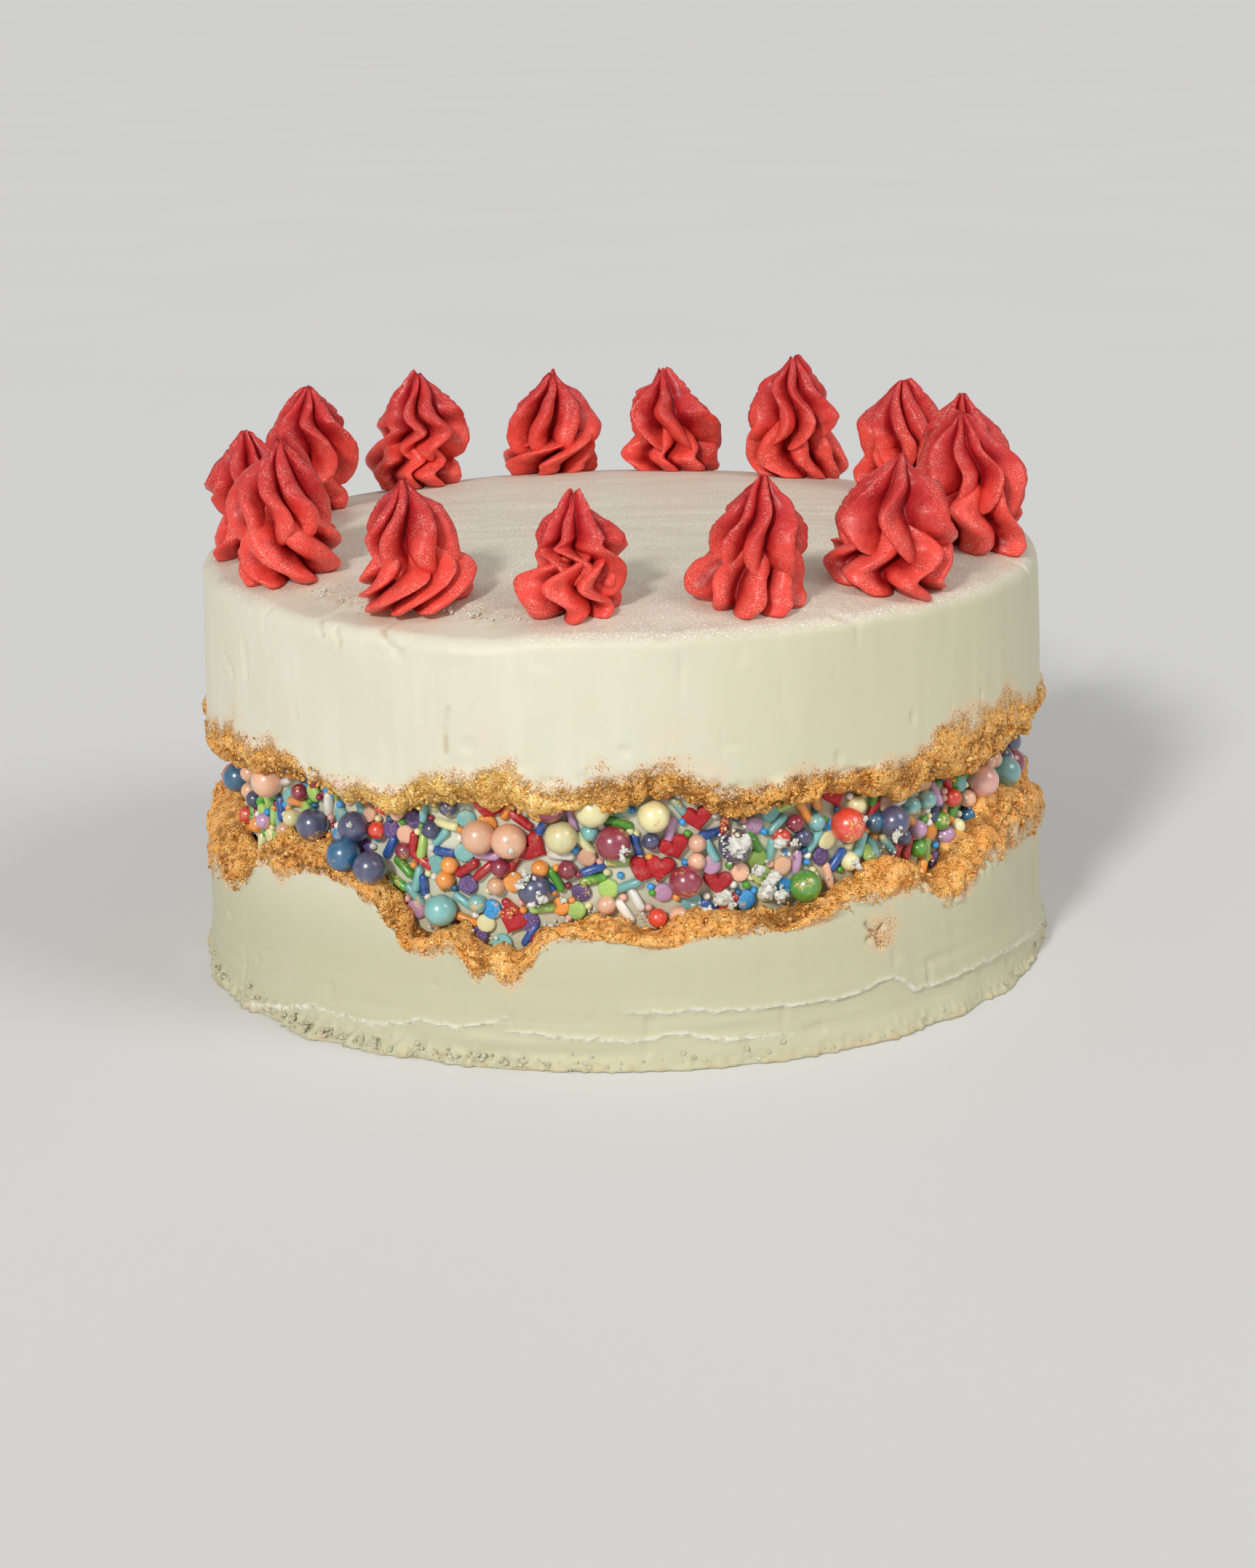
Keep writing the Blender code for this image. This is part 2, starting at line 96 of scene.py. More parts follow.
# Torn edges as (bearing, lip height, shoulder height)
UPPER_TEAR = [
    (-85, 51.0, 64.0), (-70, 55.5, 67.0), (-55, 58.6, 70.1), (-43, 59.5, 66.8),
    (-36, 57.9, 67.0), (-30, 57.6, 65.7), (-23, 61.6, 71.7), (-15, 61.0, 72.8),
    (-11, 59.6, 72.2), (-7, 59.8, 68.7), (-3, 60.7, 71.5), (5, 64.5, 72.9),
    (15, 57.2, 68.9), (20, 58.8, 68.8), (31, 59.6, 67.7), (40, 55.6, 67.5),
    (45, 56.8, 70.6), (55, 55.9, 71.9), (66, 56.7, 70.0), (84, 58.0, 69.0),
]
LOWER_TEAR = [
    (-85, 42.0, 20.0), (-64, 33.6, 25.2), (-54, 44.3, 35.3), (-43, 46.4, 38.8),
    (-38, 42.0, 38.0), (-34, 38.0, 35.0), (-31.5, 33.5, 30.0), (-29, 28.4, 25.0),
    (-26, 28.6, 24.4), (-22.5, 30.2, 25.2), (-19.2, 27.4, 19.0), (-17.8, 26.4, 23.0),
    (-15.6, 26.0, 20.2), (-12.5, 28.0, 23.0), (-10.5, 31.0, 28.4), (-7, 34.6, 31.0),
    (-3, 35.6, 31.4), (3, 32.6, 29.8), (10, 35.6, 31.0), (20, 35.4, 30.3),
    (26, 35.7, 31.8), (31, 38.8, 33.0), (37, 42.2, 34.4), (41, 39.6, 31.7),
    (46, 34.2, 25.4), (53, 41.1, 29.1), (62, 47.8, 32.1), (73, 46.5, 28.8),
    (84, 41.0, 27.0),
]
BACK_STEP = 9.0
FACE_SHARE = 0.62  # share of the height from lip to shoulder in which the torn face rises

# Strip of the rim that was scraped lower: bearings over which it begins and ends, its inner
# radius, its drop, and where crumbs lie on it
LEDGE_STARTS = (-58, -47)
LEDGE_ENDS = (-17, -9)
LEDGE_R = 92.0
LEDGE_DROP = 1.6
LEDGE_ARC = (-52, -12)

# Swirls
SWIRL_R = 13.4
SWIRL_SIDES = 98
# The two tiers of a swirl: share of the height at its foot and its top, levels, and the radius
# by share of the tier
TIERS = {
    "base": (0.0, 0.52, 30, [
        (0.0, 0.88), (0.12, 0.97), (0.34, 1.0), (0.55, 0.90), (0.72, 0.70), (0.88, 0.45), (1.0, 0.2),
    ]),
    "crown": (0.29, 1.0, 52, [
        (0.0, 0.26), (0.04, 0.60), (0.10, 0.80), (0.21, 0.91), (0.37, 0.90), (0.55, 0.76),
        (0.73, 0.54), (0.88, 0.33), (1.0, 0.13),
    ]),
}
RIDGES = 7
# How sharp the ridges are, from 0, round, to 1, and how they turn on their way up each tier, as
# (share of the tier, turn in radians)
STYLES = {
    "coil": (0.1, [(0.0, 0.0), (0.25, 0.45), (0.55, 1.05), (0.8, 1.3), (1.0, 1.35)],
             [(0.0, 0.0), (0.2, -0.30), (0.5, 0.0), (0.8, 0.32), (1.0, 0.3)]),
    "zigzag": (0.35, [(0.0, 0.0), (0.25, 0.42), (0.5, -0.12), (0.8, 0.35), (1.0, 0.4)],
               [(0.0, 0.0), (0.16, 0.42), (0.34, -0.22), (0.52, 0.12), (0.75, 0.0), (1.0, 0.0)]),
    "bend": (0.55, [(0.0, 0.0), (0.3, -0.4), (0.6, -0.55), (1.0, -0.5)],
             [(0.0, 0.0), (0.18, 0.42), (0.4, 0.30), (0.62, -0.12), (0.85, 0.0), (1.0, 0.0)]),
    "pull": (0.7, [(0.0, 0.0), (0.3, 0.42), (0.6, 0.1), (1.0, 0.2)],
             [(0.0, 0.0), (0.2, 0.5), (0.42, 0.72), (0.65, 0.45), (0.85, 0.5), (1.0, 0.5)]),
}
# bearing, ring radius, height, width share, lean right, lean back, start of coil, turns,
# the way its ridges turn, and the hand of the coil
SWIRLS = [
    (-83.0, 91.0, 30.0, 0.98, -3.0, 1.0, 200, 1.6, "pull", 1),
    (-113.8, 91.0, 34.0, 1.00, 1.8, 0.0, 40, 1.5, "bend", 1),
    (-142.0, 91.0, 31.9, 0.94, 1.5, 0.5, 310, 1.7, "zigzag", -1),
    (-168.0, 91.0, 28.8, 1.03, 1.2, 0.0, 120, 1.4, "coil", 1),
    (169.5, 91.0, 28.3, 1.06, -3.2, 0.5, 260, 1.6, "pull", -1),
    (146.2, 91.0, 33.9, 1.05, -0.9, 0.0, 20, 1.5, "bend", 1),
    (121.2, 91.0, 30.6, 1.02, -0.3, 0.5, 170, 1.4, "coil", -1),
    (99.0, 91.0, 31.9, 0.98, -0.4, 0.0, 330, 1.6, "bend", -1),
    (74.5, 91.0, 33.2, 1.02, -3.0, 0.0, 90, 1.4, "pull", 1),
    (43.0, 90.5, 30.4, 1.10, 4.0, -0.5, 230, 1.5, "pull", -1),
    (18.8, 89.7, 29.1, 0.95, 3.7, 0.0, 285, 1.6, "bend", -1),
    (-7.0, 88.6, 26.6, 0.85, 0.6, 0.0, 60, 1.9, "zigzag", 1),
    (-32.4, 89.0, 28.6, 0.94, -1.9, 0.5, 190, 1.5, "coil", 1),
    (-62.0, 90.6, 33.6, 0.98, -0.9, 0.0, 140, 1.6, "coil", -1),
]

# Colours of the sprinkles, as linear red, green and blue
TINTS = {
    "navy": (0.055, 0.065, 0.15), "teal": (0.005, 0.11, 0.24), "blue": (0.02, 0.09, 0.36),
    "sky": (0.03, 0.35, 0.80), "aqua": (0.20, 0.49, 0.48), "green": (0.09, 0.36, 0.03),
    "lime": (0.40, 0.62, 0.14), "yellow": (0.82, 0.78, 0.42), "white": (0.86, 0.83, 0.76),
    "peach": (0.82, 0.47, 0.31), "orange": (0.93, 0.34, 0.05), "scarlet": (0.76, 0.05, 0.02),
    "red": (0.46, 0.006, 0.012), "crimson": (0.28, 0.012, 0.045), "purple": (0.12, 0.06, 0.22),
    "lilac": (0.56, 0.32, 0.52), "pink": (0.80, 0.42, 0.36),
}
# Kinds of sprinkle: size across, length, depth
SIZES = {
    "pearl": (8.0, 8.0, 8.0),
    "heart": (7.4, 6.8, 2.4),
    "bead": (4.4, 4.4, 4.4),
    "rod": (2.3, 6.6, 2.3),
    "disc": (4.7, 4.7, 1.5),
    "dot": (1.9, 1.9, 1.9),
}
SINK = 1.0
# Share of their reach that two sprinkles keep apart
TIGHT = {"pearl": 1.0, "heart": 0.95, "bead": 0.92, "rod": 0.78, "disc": 0.78, "dot": 0.78}
# Bearings between which the photograph shows none of the band
HIDDEN_ARC = (72, 285)
# Sprinkles read off the photograph, by kind: colour, pixel across and down, any turn in degrees
SEEN = {
    "pearl": [
        ("navy", 479, 1140), ("peach", 653, 1154), ("peach", 696, 1160), ("yellow", 769, 1155),
        ("yellow", 813, 1117), ("yellow", 899, 1126), ("crimson", 842, 1163), ("crimson", 944, 1216),
        ("crimson", 753, 1112), ("aqua", 600, 1255), ("navy", 731, 1227), ("navy", 1014, 1166),
        ("navy", 421, 1136), ("peach", 358, 1076), ("green", 1112, 1221), ("scarlet", 1172, 1137),
        ("navy", 1236, 1132), ("pink", 1360, 1075),
    ],
    "heart": [
        ("red", 668, 1114, -15), ("red", 735, 1168, 60), ("red", 928, 1168, 20),
        ("red", 907, 1197, -12), ("red", 883, 1200, -25), ("red", 988, 1217, -6),
        ("red", 960, 1128, 10), ("red", 703, 1270, -20), ("red", 1150, 1094, 10),
    ],
    "bead": [
        ("scarlet", 522, 1109), ("scarlet", 513, 1144), ("navy", 588, 1143), ("crimson", 550, 1172),
        ("navy", 612, 1112), ("orange", 614, 1192), ("orange", 608, 1212), ("crimson", 685, 1196),
        ("crimson", 778, 1199), ("orange", 740, 1197), ("aqua", 810, 1147), ("navy", 895, 1159),
        ("peach", 960, 1162), ("peach", 959, 1187), ("aqua", 653, 1245), ("peach", 679, 1221),
        ("crimson", 739, 1295), ("peach", 833, 1247), ("crimson", 1097, 1134), ("yellow", 1183, 1109),
        ("aqua", 1127, 1133), ("teal", 1208, 1132), ("green", 1300, 1130), ("lilac", 1307, 1149),
        ("lilac", 1268, 1142), ("aqua", 1259, 1110), ("aqua", 1281, 1101), ("scarlet", 1316, 1098),
        ("scarlet", 1348, 1062), ("yellow", 1322, 1138), ("green", 1268, 1168), ("scarlet", 1077, 1154),
        ("scarlet", 1318, 1161), ("teal", 1338, 1122), ("yellow", 1173, 1186), ("peach", 1337, 1099),
    ],
    "disc": [
        ("purple", 535, 1141), ("peach", 556, 1148), ("peach", 505, 1119), ("peach", 543, 1117),
        ("aqua", 640, 1127), ("purple", 567, 1127), ("purple", 500, 1168), ("aqua", 637, 1173),
        ("purple", 642, 1217), ("orange", 770, 1247), ("lime", 836, 1223), ("lilac", 912, 1228),
        ("purple", 727, 1268), ("sky", 675, 1251), ("yellow", 667, 1270), ("purple", 658, 1285),
        ("aqua", 852, 1112), ("orange", 668, 1134), ("peach", 806, 1180), ("sky", 1146, 1139),
        ("sky", 1080, 1221), ("purple", 1130, 1178), ("purple", 1287, 1183), ("purple", 1382, 1093),
        ("orange", 1282, 1143), ("peach", 1221, 1105), ("lime", 1197, 1172), ("lime", 1042, 1181),
        ("aqua", 1323, 1077), ("peach", 1018, 1200), ("peach", 1077, 1191), ("yellow", 1138, 1155),
    ],
    "rod": [
        ("blue", 608, 1173), ("green", 552, 1193, -35), ("green", 544, 1214, -25),
        ("blue", 533, 1166, 60), ("red", 565, 1162, 80), ("lime", 577, 1165, 85),
        ("aqua", 603, 1153, 45), ("blue", 743, 1140, 60), ("red", 714, 1129, -35),
        ("green", 851, 1134, -15), ("blue", 875, 1163, -75), ("yellow", 803, 1162, -50),
        ("blue", 747, 1216, -35), ("green", 763, 1211, -60), ("blue", 580, 1220, -85),
        ("aqua", 571, 1210, 80), ("green", 815, 1211, 12), ("blue", 813, 1198, 20),
        ("blue", 727, 1288, 60), ("red", 703, 1250, -40), ("blue", 978, 1148, 5),
        ("green", 1037, 1157, -60), ("lilac", 785, 1128, -75), ("lilac", 922, 1143, 80),
        ("white", 447, 1107, 75), ("aqua", 1071, 1135, 45), ("orange", 1108, 1117, -60),
        ("red", 1202, 1116, 55), ("blue", 1153, 1184, 55), ("aqua", 1186, 1163, 70),
        ("aqua", 1205, 1167, -70), ("aqua", 1225, 1163, -50), ("red", 1252, 1165, 83),
        ("navy", 1290, 1115, 70), ("peach", 1141, 1205, -80), ("peach", 1357, 1133, 40),
    ],
}
# Pearls that lie on the torn ledge, a little further out
LEDGE_PEARLS = [("teal", 468, 1177), ("navy", 504, 1195)]
LEDGE_OUT = 3.6
# Counts of the sprinkles that fill the rest, and the colours that each kind is drawn from
FILL = [
    ("pearl", 24, ("navy", "peach", "yellow", "crimson", "scarlet", "green", "aqua", "teal")),
    ("heart", 14, ("red",)),
    ("bead", 100, ("scarlet", "crimson", "aqua", "peach", "orange", "yellow", "navy", "lilac")),
    ("disc", 110, ("purple", "peach", "aqua", "sky", "orange", "lime", "lilac", "yellow")),
    ("rod", 170, ("blue", "green", "aqua", "red", "white", "lilac", "lime", "orange", "yellow")),
    ("dot", 460, ("green", "teal", "orange", "crimson", "white", "yellow", "sky", "pink")),
]
# Heaps of icing crumbs on the band: pixel across, pixel down, spread, count, height off the band
CRUMB_HEAPS = [
    (1013, 1163, 3.4, 60, 6.8), (1087, 1160, 2.6, 26, 3.6), (1045, 1198, 2.4, 26, 3.0),
    (1060, 1214, 3.0, 34, 3.0), (1072, 1229, 2.4, 22, 2.6), (1190, 1129, 1.2, 8, 6.8),
    (1236, 1144, 1.6, 14, 6.8), (1177, 1190, 1.5, 12, 4.0), (722, 1212, 2.0, 24, 6.4),
    (735, 1236, 2.0, 24, 6.0), (698, 1168, 1.2, 8, 6.9), (857, 1172, 1.6, 16, 6.6),
    (995, 1240, 3.4, 26, 1.2), (960, 1246, 2.6, 18, 1.0), (775, 1238, 1.4, 8, 1.0),
    (480, 1136, 1.0, 6, 7.0),
]
# Cracks and nicks in the side, each a run of photograph pixels
CRACKS = [
    [(415, 828), (428, 842), (443, 865)],
    [(457, 857), (466, 874), (473, 888)],
    [(515, 858), (530, 872), (547, 886), (567, 898)],
    [(310, 902), (317, 914), (323, 930)],
    [(616, 975), (612, 1005), (614, 1035)],
    [(1186, 1268), (1198, 1284), (1203, 1298)],
    [(1186, 1290), (1198, 1284), (1208, 1270)],
]
CRACK_WIDTH = 0.5
# Ragged edges that the spatula left in the lower coat, each a run of photograph pixels
SMEARS = [
    [(860, 1393), (943, 1388), (1027, 1387), (1093, 1380), (1160, 1370), (1207, 1350),
     (1230, 1343), (1257, 1360), (1293, 1350), (1327, 1333), (1380, 1307), (1420, 1273),
     (1447, 1250)],
    [(690, 1419), (747, 1423), (780, 1427), (860, 1431), (943, 1420), (993, 1428), (1090, 1421)],
    [(352, 1376), (400, 1384), (437, 1383), (467, 1393), (513, 1407), (580, 1403),
     (630, 1413), (697, 1403)],
]
SMEAR_STEP = 0.95
# Gold dust brushed on the side: pixel across, pixel down, spread
DUST_MOST = 0.40
DUST_SPOTS = [(1214, 1280, 6.5), (697, 1346, 4.5), (657, 1345, 2.2)]

# Lights: bearing, elevation and spread in degrees, power, colour
SUNS = {
    "key": (-24, 30, 8, 1.9, (1.0, 0.98, 0.95)),
    "fill": (64, 42, 25, 0.75, (1.0, 0.98, 0.96)),
}
WORLD_COLOUR = (1.0, 0.99, 0.97, 1.0)
WORLD_POWER = 0.40
FLOOR_R = 30.0  # in metres

# Size of the table behind the noise, and the seeds of the random draws
TABLE_SEED = 7
TABLE_SIZE = 32
UPPER_SEED = 5
LOWER_SEED = 8
SWIRL_SEED = 900
SPRINKLE_SEED = 41
CRUMB_SEED = 77
FLAKE_SEED = 78

RED_ICING = "red_icing"
WHITE_ICING = "white_icing"
SPRINKLES = "sprinkle_band"
ROOT = "root"


# Unevenness

TABLE = np.random.default_rng(TABLE_SEED).random((TABLE_SIZE,) * 3)


def noise(points, size, shift=0.0):
    """Smooth noise between -1 and 1 with features of this size, at an array of points."""
    at = points / size + shift
    cell = np.floor(at).astype(int)
    part = at - cell
    part = part * part * (3 - 2 * part)
    total = 0.0
    for corner in np.ndindex(2, 2, 2):
        weight = 1.0
        for axis, far in enumerate(corner):
            weight = weight * (part[..., axis] if far else 1 - part[..., axis])
        spot = (cell + corner) % TABLE_SIZE
        total = total + weight * TABLE[spot[..., 0], spot[..., 1], spot[..., 2]]
    return total * 2 - 1


def ragged(bearing, seed):
    """A periodic unevenness between about -1 and 1 along an array of bearings."""
    rng = random.Random(seed)
    total = 0.0
    for _ in range(9):
        waves = rng.randint(5, 38)
        total = total + np.sin(np.radians(bearing * waves) + rng.uniform(0, 6.283))
    return total / 4.5


def step_between(low, high, value):
    """0 below low, 1 above high, and smooth in between."""
    share = np.clip((value - low) / (high - low), 0.0, 1.0)
    return share * share * (3 - 2 * share)


# Form of the cake


def between(knots, at, column):
    """The value in this column of sorted knots, blended smoothly at each position."""
    places = np.array([knot[0] for knot in knots])
    values = np.array([knot[column] for knot in knots])
    after = np.clip(np.searchsorted(places, at, side="right"), 1, len(knots) - 1)
    low, high = places[after - 1], places[after]
    share = step_between(low, high, at)
    return values[after - 1] + (values[after] - values[after - 1]) * share


def closed_tear(front, seed):
    """Knots all the way round: the front ones as seen, the back ones drawn alike."""
    rng = random.Random(seed)
    knots = list(front)
    lips = [knot[1] for knot in front]
    rise = [knot[2] - knot[1] for knot in front]
    bearing = front[-1][0] + BACK_STEP
    while bearing < front[0][0] + 360 - BACK_STEP / 2:
        lip = rng.choice(lips) + rng.uniform(-1.5, 1.5)
        knots.append((bearing, lip, lip + rng.choice(rise)))
        bearing += BACK_STEP * rng.uniform(0.7, 1.3)
    first = front[0]
    knots.append((first[0] + 360, first[1], first[2]))
    return knots


UPPER = closed_tear(UPPER_TEAR, UPPER_SEED)
LOWER = closed_tear(LOWER_TEAR, LOWER_SEED)


def around(bearing):
    """The bearing moved into the span that the tear knots cover."""
    return (bearing + 85.0) % 360.0 - 85.0


def torn_edge(knots, bearing, seed):
    """Heights of a torn edge's lip and shoulder at an array of bearings."""
    at = around(bearing)
    lip = between(knots, at, 1) + 0.9 * ragged(bearing, seed)
    return lip, between(knots, at, 2) + 0.8 * ragged(bearing, seed + 1)


def upper_edge(bearing):
    return torn_edge(UPPER, bearing, 21)


def lower_edge(bearing):
    return torn_edge(LOWER, bearing, 31)


def side_radius(bearing, z):
    """Outer radius of the iced side: slightly tapered, oval and uneven."""
    radius = SIDE_R_BASE + (SIDE_R_TOP - SIDE_R_BASE) * np.clip(z / SIDE_SPAN, 0.0, 1.0)
    radius = radius + SIDE_OVAL * np.sin(np.radians(bearing)) ** 2
    return radius + 0.35 * np.sin(np.radians(4 * bearing) + z / 30.0)


def foot_radius(bearing, z):
    """Outer radius near the foot, where the icing is smeared outwards."""
    share = np.clip(1.0 - z / FOOT_H, 0.0, 1.0) ** 2
    turn = np.sin(np.radians(2 * bearing)) ** 2
    drift = FOOT_DRIFT * turn * (0.55 + 0.45 * ragged(bearing, 43))
    left = np.where(around(bearing) < 0, 1.0, 0.55)
    return side_radius(bearing, z) + share * (FOOT_FLARE + np.maximum(drift, -0.4) * left)


def top_height(x, y):
    away = np.minimum(np.hypot(x, y) / CROWN_R, 1.1)
    return RIM_Z + CROWN * (1.0 - away**4)


def place(bearing, radius, z):
    """Points at these bearings, radii and heights, as an array that ends in x, y, z."""
    turn = np.radians(bearing)
    x = radius * np.sin(turn)
    return np.stack([x, -radius * np.cos(turn), z + 0 * x], -1)


def add_object(name, data):
    thing = bpy.data.objects.new(name, data)
    bpy.context.scene.collection.objects.link(thing)
    return thing


# The camera, and what it sees


def camera_axes():
    """The camera's right, up and forward directions."""
    forward = Vector(
        (math.sin(YAW) * math.cos(PITCH), math.cos(YAW) * math.cos(PITCH), -math.sin(PITCH))
    )
    right = Vector((math.cos(YAW), -math.sin(YAW), 0.0))
    up = right.cross(forward)
    level_right = math.cos(ROLL) * right + math.sin(ROLL) * up
    level_up = math.cos(ROLL) * up - math.sin(ROLL) * right
    return level_right, level_up, forward


def seen_on_band(across, down, radius):
    """Bearing and height where a photograph pixel meets a cylinder round the cake's axis."""
    right, up, forward = camera_axes()
    start = Vector(CAMERA_AT)
    ray = forward + right * ((across - PHOTO_W / 2) / FOCAL)
    ray = ray - up * ((down - PHOTO_H / 2) / FOCAL)
    a = ray.x**2 + ray.y**2
    b = 2 * (start.x * ray.x + start.y * ray.y)
    c = start.x**2 + start.y**2 - radius**2
    hit = start + ray * ((-b - math.sqrt(max(b * b - 4 * a * c, 0.0))) / (2 * a))
    return math.degrees(math.atan2(hit.x, -hit.y)), hit.z


def add_camera():
    right, up, forward = camera_axes()
    data = bpy.data.cameras.new("camera")
    data.sensor_width = SENSOR
    data.lens = FOCAL / PHOTO_H * SENSOR
    data.clip_start = 0.01
    camera = add_object("camera", data)
    turned = Matrix((right, up, -forward)).transposed().to_4x4()
    camera.matrix_world = Matrix.Translation(Vector(CAMERA_AT) * MM) @ turned
    bpy.context.scene.camera = camera


# Meshes from grids of points


def make_piece(name, points, quads, fans=(), tint=None, fields=None):
    """A smooth-shaded mesh object from points in millimetres, with its point attributes."""
    faces = [tuple(quad) for quad in np.asarray(quads).tolist()] + list(fans)
    mesh = bpy.data.meshes.new(name)
    mesh.from_pydata((np.asarray(points) * MM).tolist(), [], faces)
    for field, values in (fields or {}).items():
        mesh.attributes.new(field, "FLOAT", "POINT").data.foreach_set("value", values.ravel())
    if tint is not None:
        colours = np.concatenate([tint, np.ones((len(tint), 1))], 1)
        layer = mesh.attributes.new("tint", "FLOAT_COLOR", "POINT")
        layer.data.foreach_set("color", colours.ravel())
    mesh.shade_smooth()
    return add_object(name, mesh)


def wrapped_quads(rows, columns):
    """Quads of a grid whose columns close into a ring, facing outwards as rows climb."""
    row = np.arange(rows - 1)[:, None] * columns
    column = np.arange(columns)[None, :]
    onward = (column + 1) % columns
    corners = [row + column, row + onward, row + onward + columns, row + column + columns]
    return np.stack(corners, -1).reshape(-1, 4)


def ringed(grid, low, high):
    """Points, quads and end triangles of a closed body of stacked rings."""
    rows, columns = grid.shape[:2]
    points = np.vstack([grid.reshape(-1, 3), low, high])
    first = rows * columns
    fans = []
    for step in range(columns):
        onward = (step + 1) % columns
        fans.append((first, onward, step))
        fans.append((first + 1, first - columns + step, first - columns + onward))
    return points, wrapped_quads(rows, columns), fans


def ended(values):
    """A grid of values as one run, with the two end points added."""
    return np.concatenate([values.ravel(), values[0, :1], values[-1, :1]])


def closed_grid(name, grid, low, high, fields):
    points, quads, fans = ringed(grid, low, high)
    runs = {field: ended(values) for field, values in fields.items()}
    return make_piece(name, points, quads, fans, fields=runs)


def grid_normals(grid):
    """Outward directions over a ringed grid."""
    along = np.roll(grid, -1, 1) - np.roll(grid, 1, 1)
    up = np.gradient(grid, axis=0)
    normal = np.cross(along, up)
    return normal / (np.linalg.norm(normal, axis=-1, keepdims=True) + 1e-9)


# The two coats of icing


def torn_face(bearing, lip, shoulder, seed, shares):
    """Rows over a torn face, from its lip beside the band to its shoulder."""
    rows = []
    edge = LIP_R + 0.7 * ragged(bearing, seed)
    rough = ragged(bearing, seed + 1)
    for share in shares:
        z = lip + (shoulder - lip) * (share + 0.10 * rough * math.sin(math.pi * share))
        bulge = 1 - np.clip(1 - share / FACE_SHARE, 0, 1) ** (2.4 + 0.5 * rough)
        rows.append((edge + (side_radius(bearing, z) - edge) * bulge, z))
    return rows


def scraped(points):
    """Relief of a scraped side: soft waves, upright scrape marks and shallow chips."""
    streaks = noise(points * np.array([1, 1, 0.12]), 2.4) * 0.07
    streaks = streaks + noise(points * np.array([1, 1, 0.2]), 6.0, 3.3) * 0.12
    waves = noise(points, 26.0, 1.7) * 0.35
    chips = -0.45 * step_between(0.62, 0.85, noise(points * np.array([1, 1, 0.7]), 4.5, 9.1))
    return streaks + waves + chips


def cracked(bearing, z):
    """From 0 to -1 in the middle of a crack, for arrays of bearings and heights."""
    depth = 0.0 * z
    for crack in CRACKS:
        marks = [seen_on_band(across, down, SIDE_R_TOP + 0.5) for across, down in crack]
        for (b0, z0), (b1, z1) in zip(marks, marks[1:]):
            scale = math.radians(1) * SIDE_R_TOP
            run = np.array([(b1 - b0) * scale, z1 - z0])
            away = np.stack([(around(bearing) - b0) * scale, z - z0], -1)
            share = np.clip((away @ run) / (run @ run), 0, 1)
            gap = np.linalg.norm(away - share[..., None] * run, axis=-1)
            depth = np.minimum(depth, -np.exp(-((gap / CRACK_WIDTH) ** 2)))
    return depth


def smeared(bearing, z, points):
    """Relief at the lower coat's ragged edges, and how near a point is to one, from 0 to 1."""
    relief = 0.0 * z
    torn = 0.0 * z
    for number, run in enumerate(SMEARS):
        marks = [seen_on_band(across, down, SIDE_R_BASE) for across, down in run]
        at = np.array([mark[0] for mark in marks])
        edge = np.interp(bearing, at, [mark[1] for mark in marks])
        edge = edge + 0.3 * ragged(bearing * 4, 90 + number) + 0.35 * noise(points, 2.0, number)
        inside = step_between(at[0] - 2, at[0] + 4, bearing)
        inside = inside * (1 - step_between(at[-1] - 4, at[-1] + 2, bearing))
        over = z - edge
        lip = step_between(-0.3, 0.25, over) * np.exp(-np.maximum(over, 0) / 5.0)
        near = inside * np.exp(-((over / 0.55) ** 2))
        relief = relief + SMEAR_STEP * inside * lip + 0.45 * near
        torn = np.maximum(torn, near)
    return relief, torn


def dusted(bearing, z):
    """Gold dust brushed on away from the torn edges, from 0 to 1."""
    gold = 0.0 * z
    for across, down, spread in DUST_SPOTS:
        at, height = seen_on_band(across, down, SIDE_R_BASE)
        along = (around(bearing) - at) * math.radians(1) * SIDE_R_BASE
        near = np.exp(-(along**2 + (z - height) ** 2) / spread**2)
        gold = np.maximum(gold, DUST_MOST * near)
    return gold


def lip_sway(points, fade, shift):
    """How far lumps of a torn edge hang down or stick up."""
    sway = 1.7 * noise(points * np.array([1, 1, 0.2]), 6.0, shift)
    return fade * (sway + 0.7 * noise(points, 2.2, shift))


def crumbly(points, shift):
    """Relief of torn, gilded icing: rounded lumps with creases between them, and grains."""
    lumps = noise(points, 6.0, shift) * 1.3
    folds = (np.abs(noise(points, 4.0, shift + 2.1)) - 0.3) * 2.2
    grains = noise(points, 1.3, shift + 4.4) * 0.5
    return lumps + folds + grains


def torn_relief(points, fade, shift):
    """Relief of a torn face, and how deep in a hollow each of its points lies, which the gold darkens
    as painted shade.
    """
    relief = crumbly(points, shift) * fade
    return relief, np.clip(0.45 - relief * 0.55, 0, 1) * fade


def gilding(share, spread, points):
    """How much gold there is at a share of the way from lip to shoulder, 0 where it ends."""
    patches = 1.0 + 0.25 * noise(points, 6.0, 5.5)
    return np.clip(1.0 - np.maximum(share, 0.0) / (spread * patches), 0.0, 1.0)


def coat_bearings():
    """Bearings of the coats' columns, closer together where the cake faces the camera."""
    half = FRONT_SPAN / 2
    front = -half + np.arange(FRONT_COLUMNS) * FRONT_SPAN / FRONT_COLUMNS
    back = half + np.arange(BACK_COLUMNS) * (360 - FRONT_SPAN) / BACK_COLUMNS
    return np.concatenate([front, back])


def stacked(rows):
    """Radii and heights of a list of rows, as two grids."""
    return np.array([row[0] for row in rows]), np.array([row[1] for row in rows])


def rim_corner(bearing):
    """Radius at which the flat of the top ends and its rounded rim begins."""
    return side_radius(bearing, RIM_Z) + 0.4 * ragged(bearing, 24) - RIM_ROUND


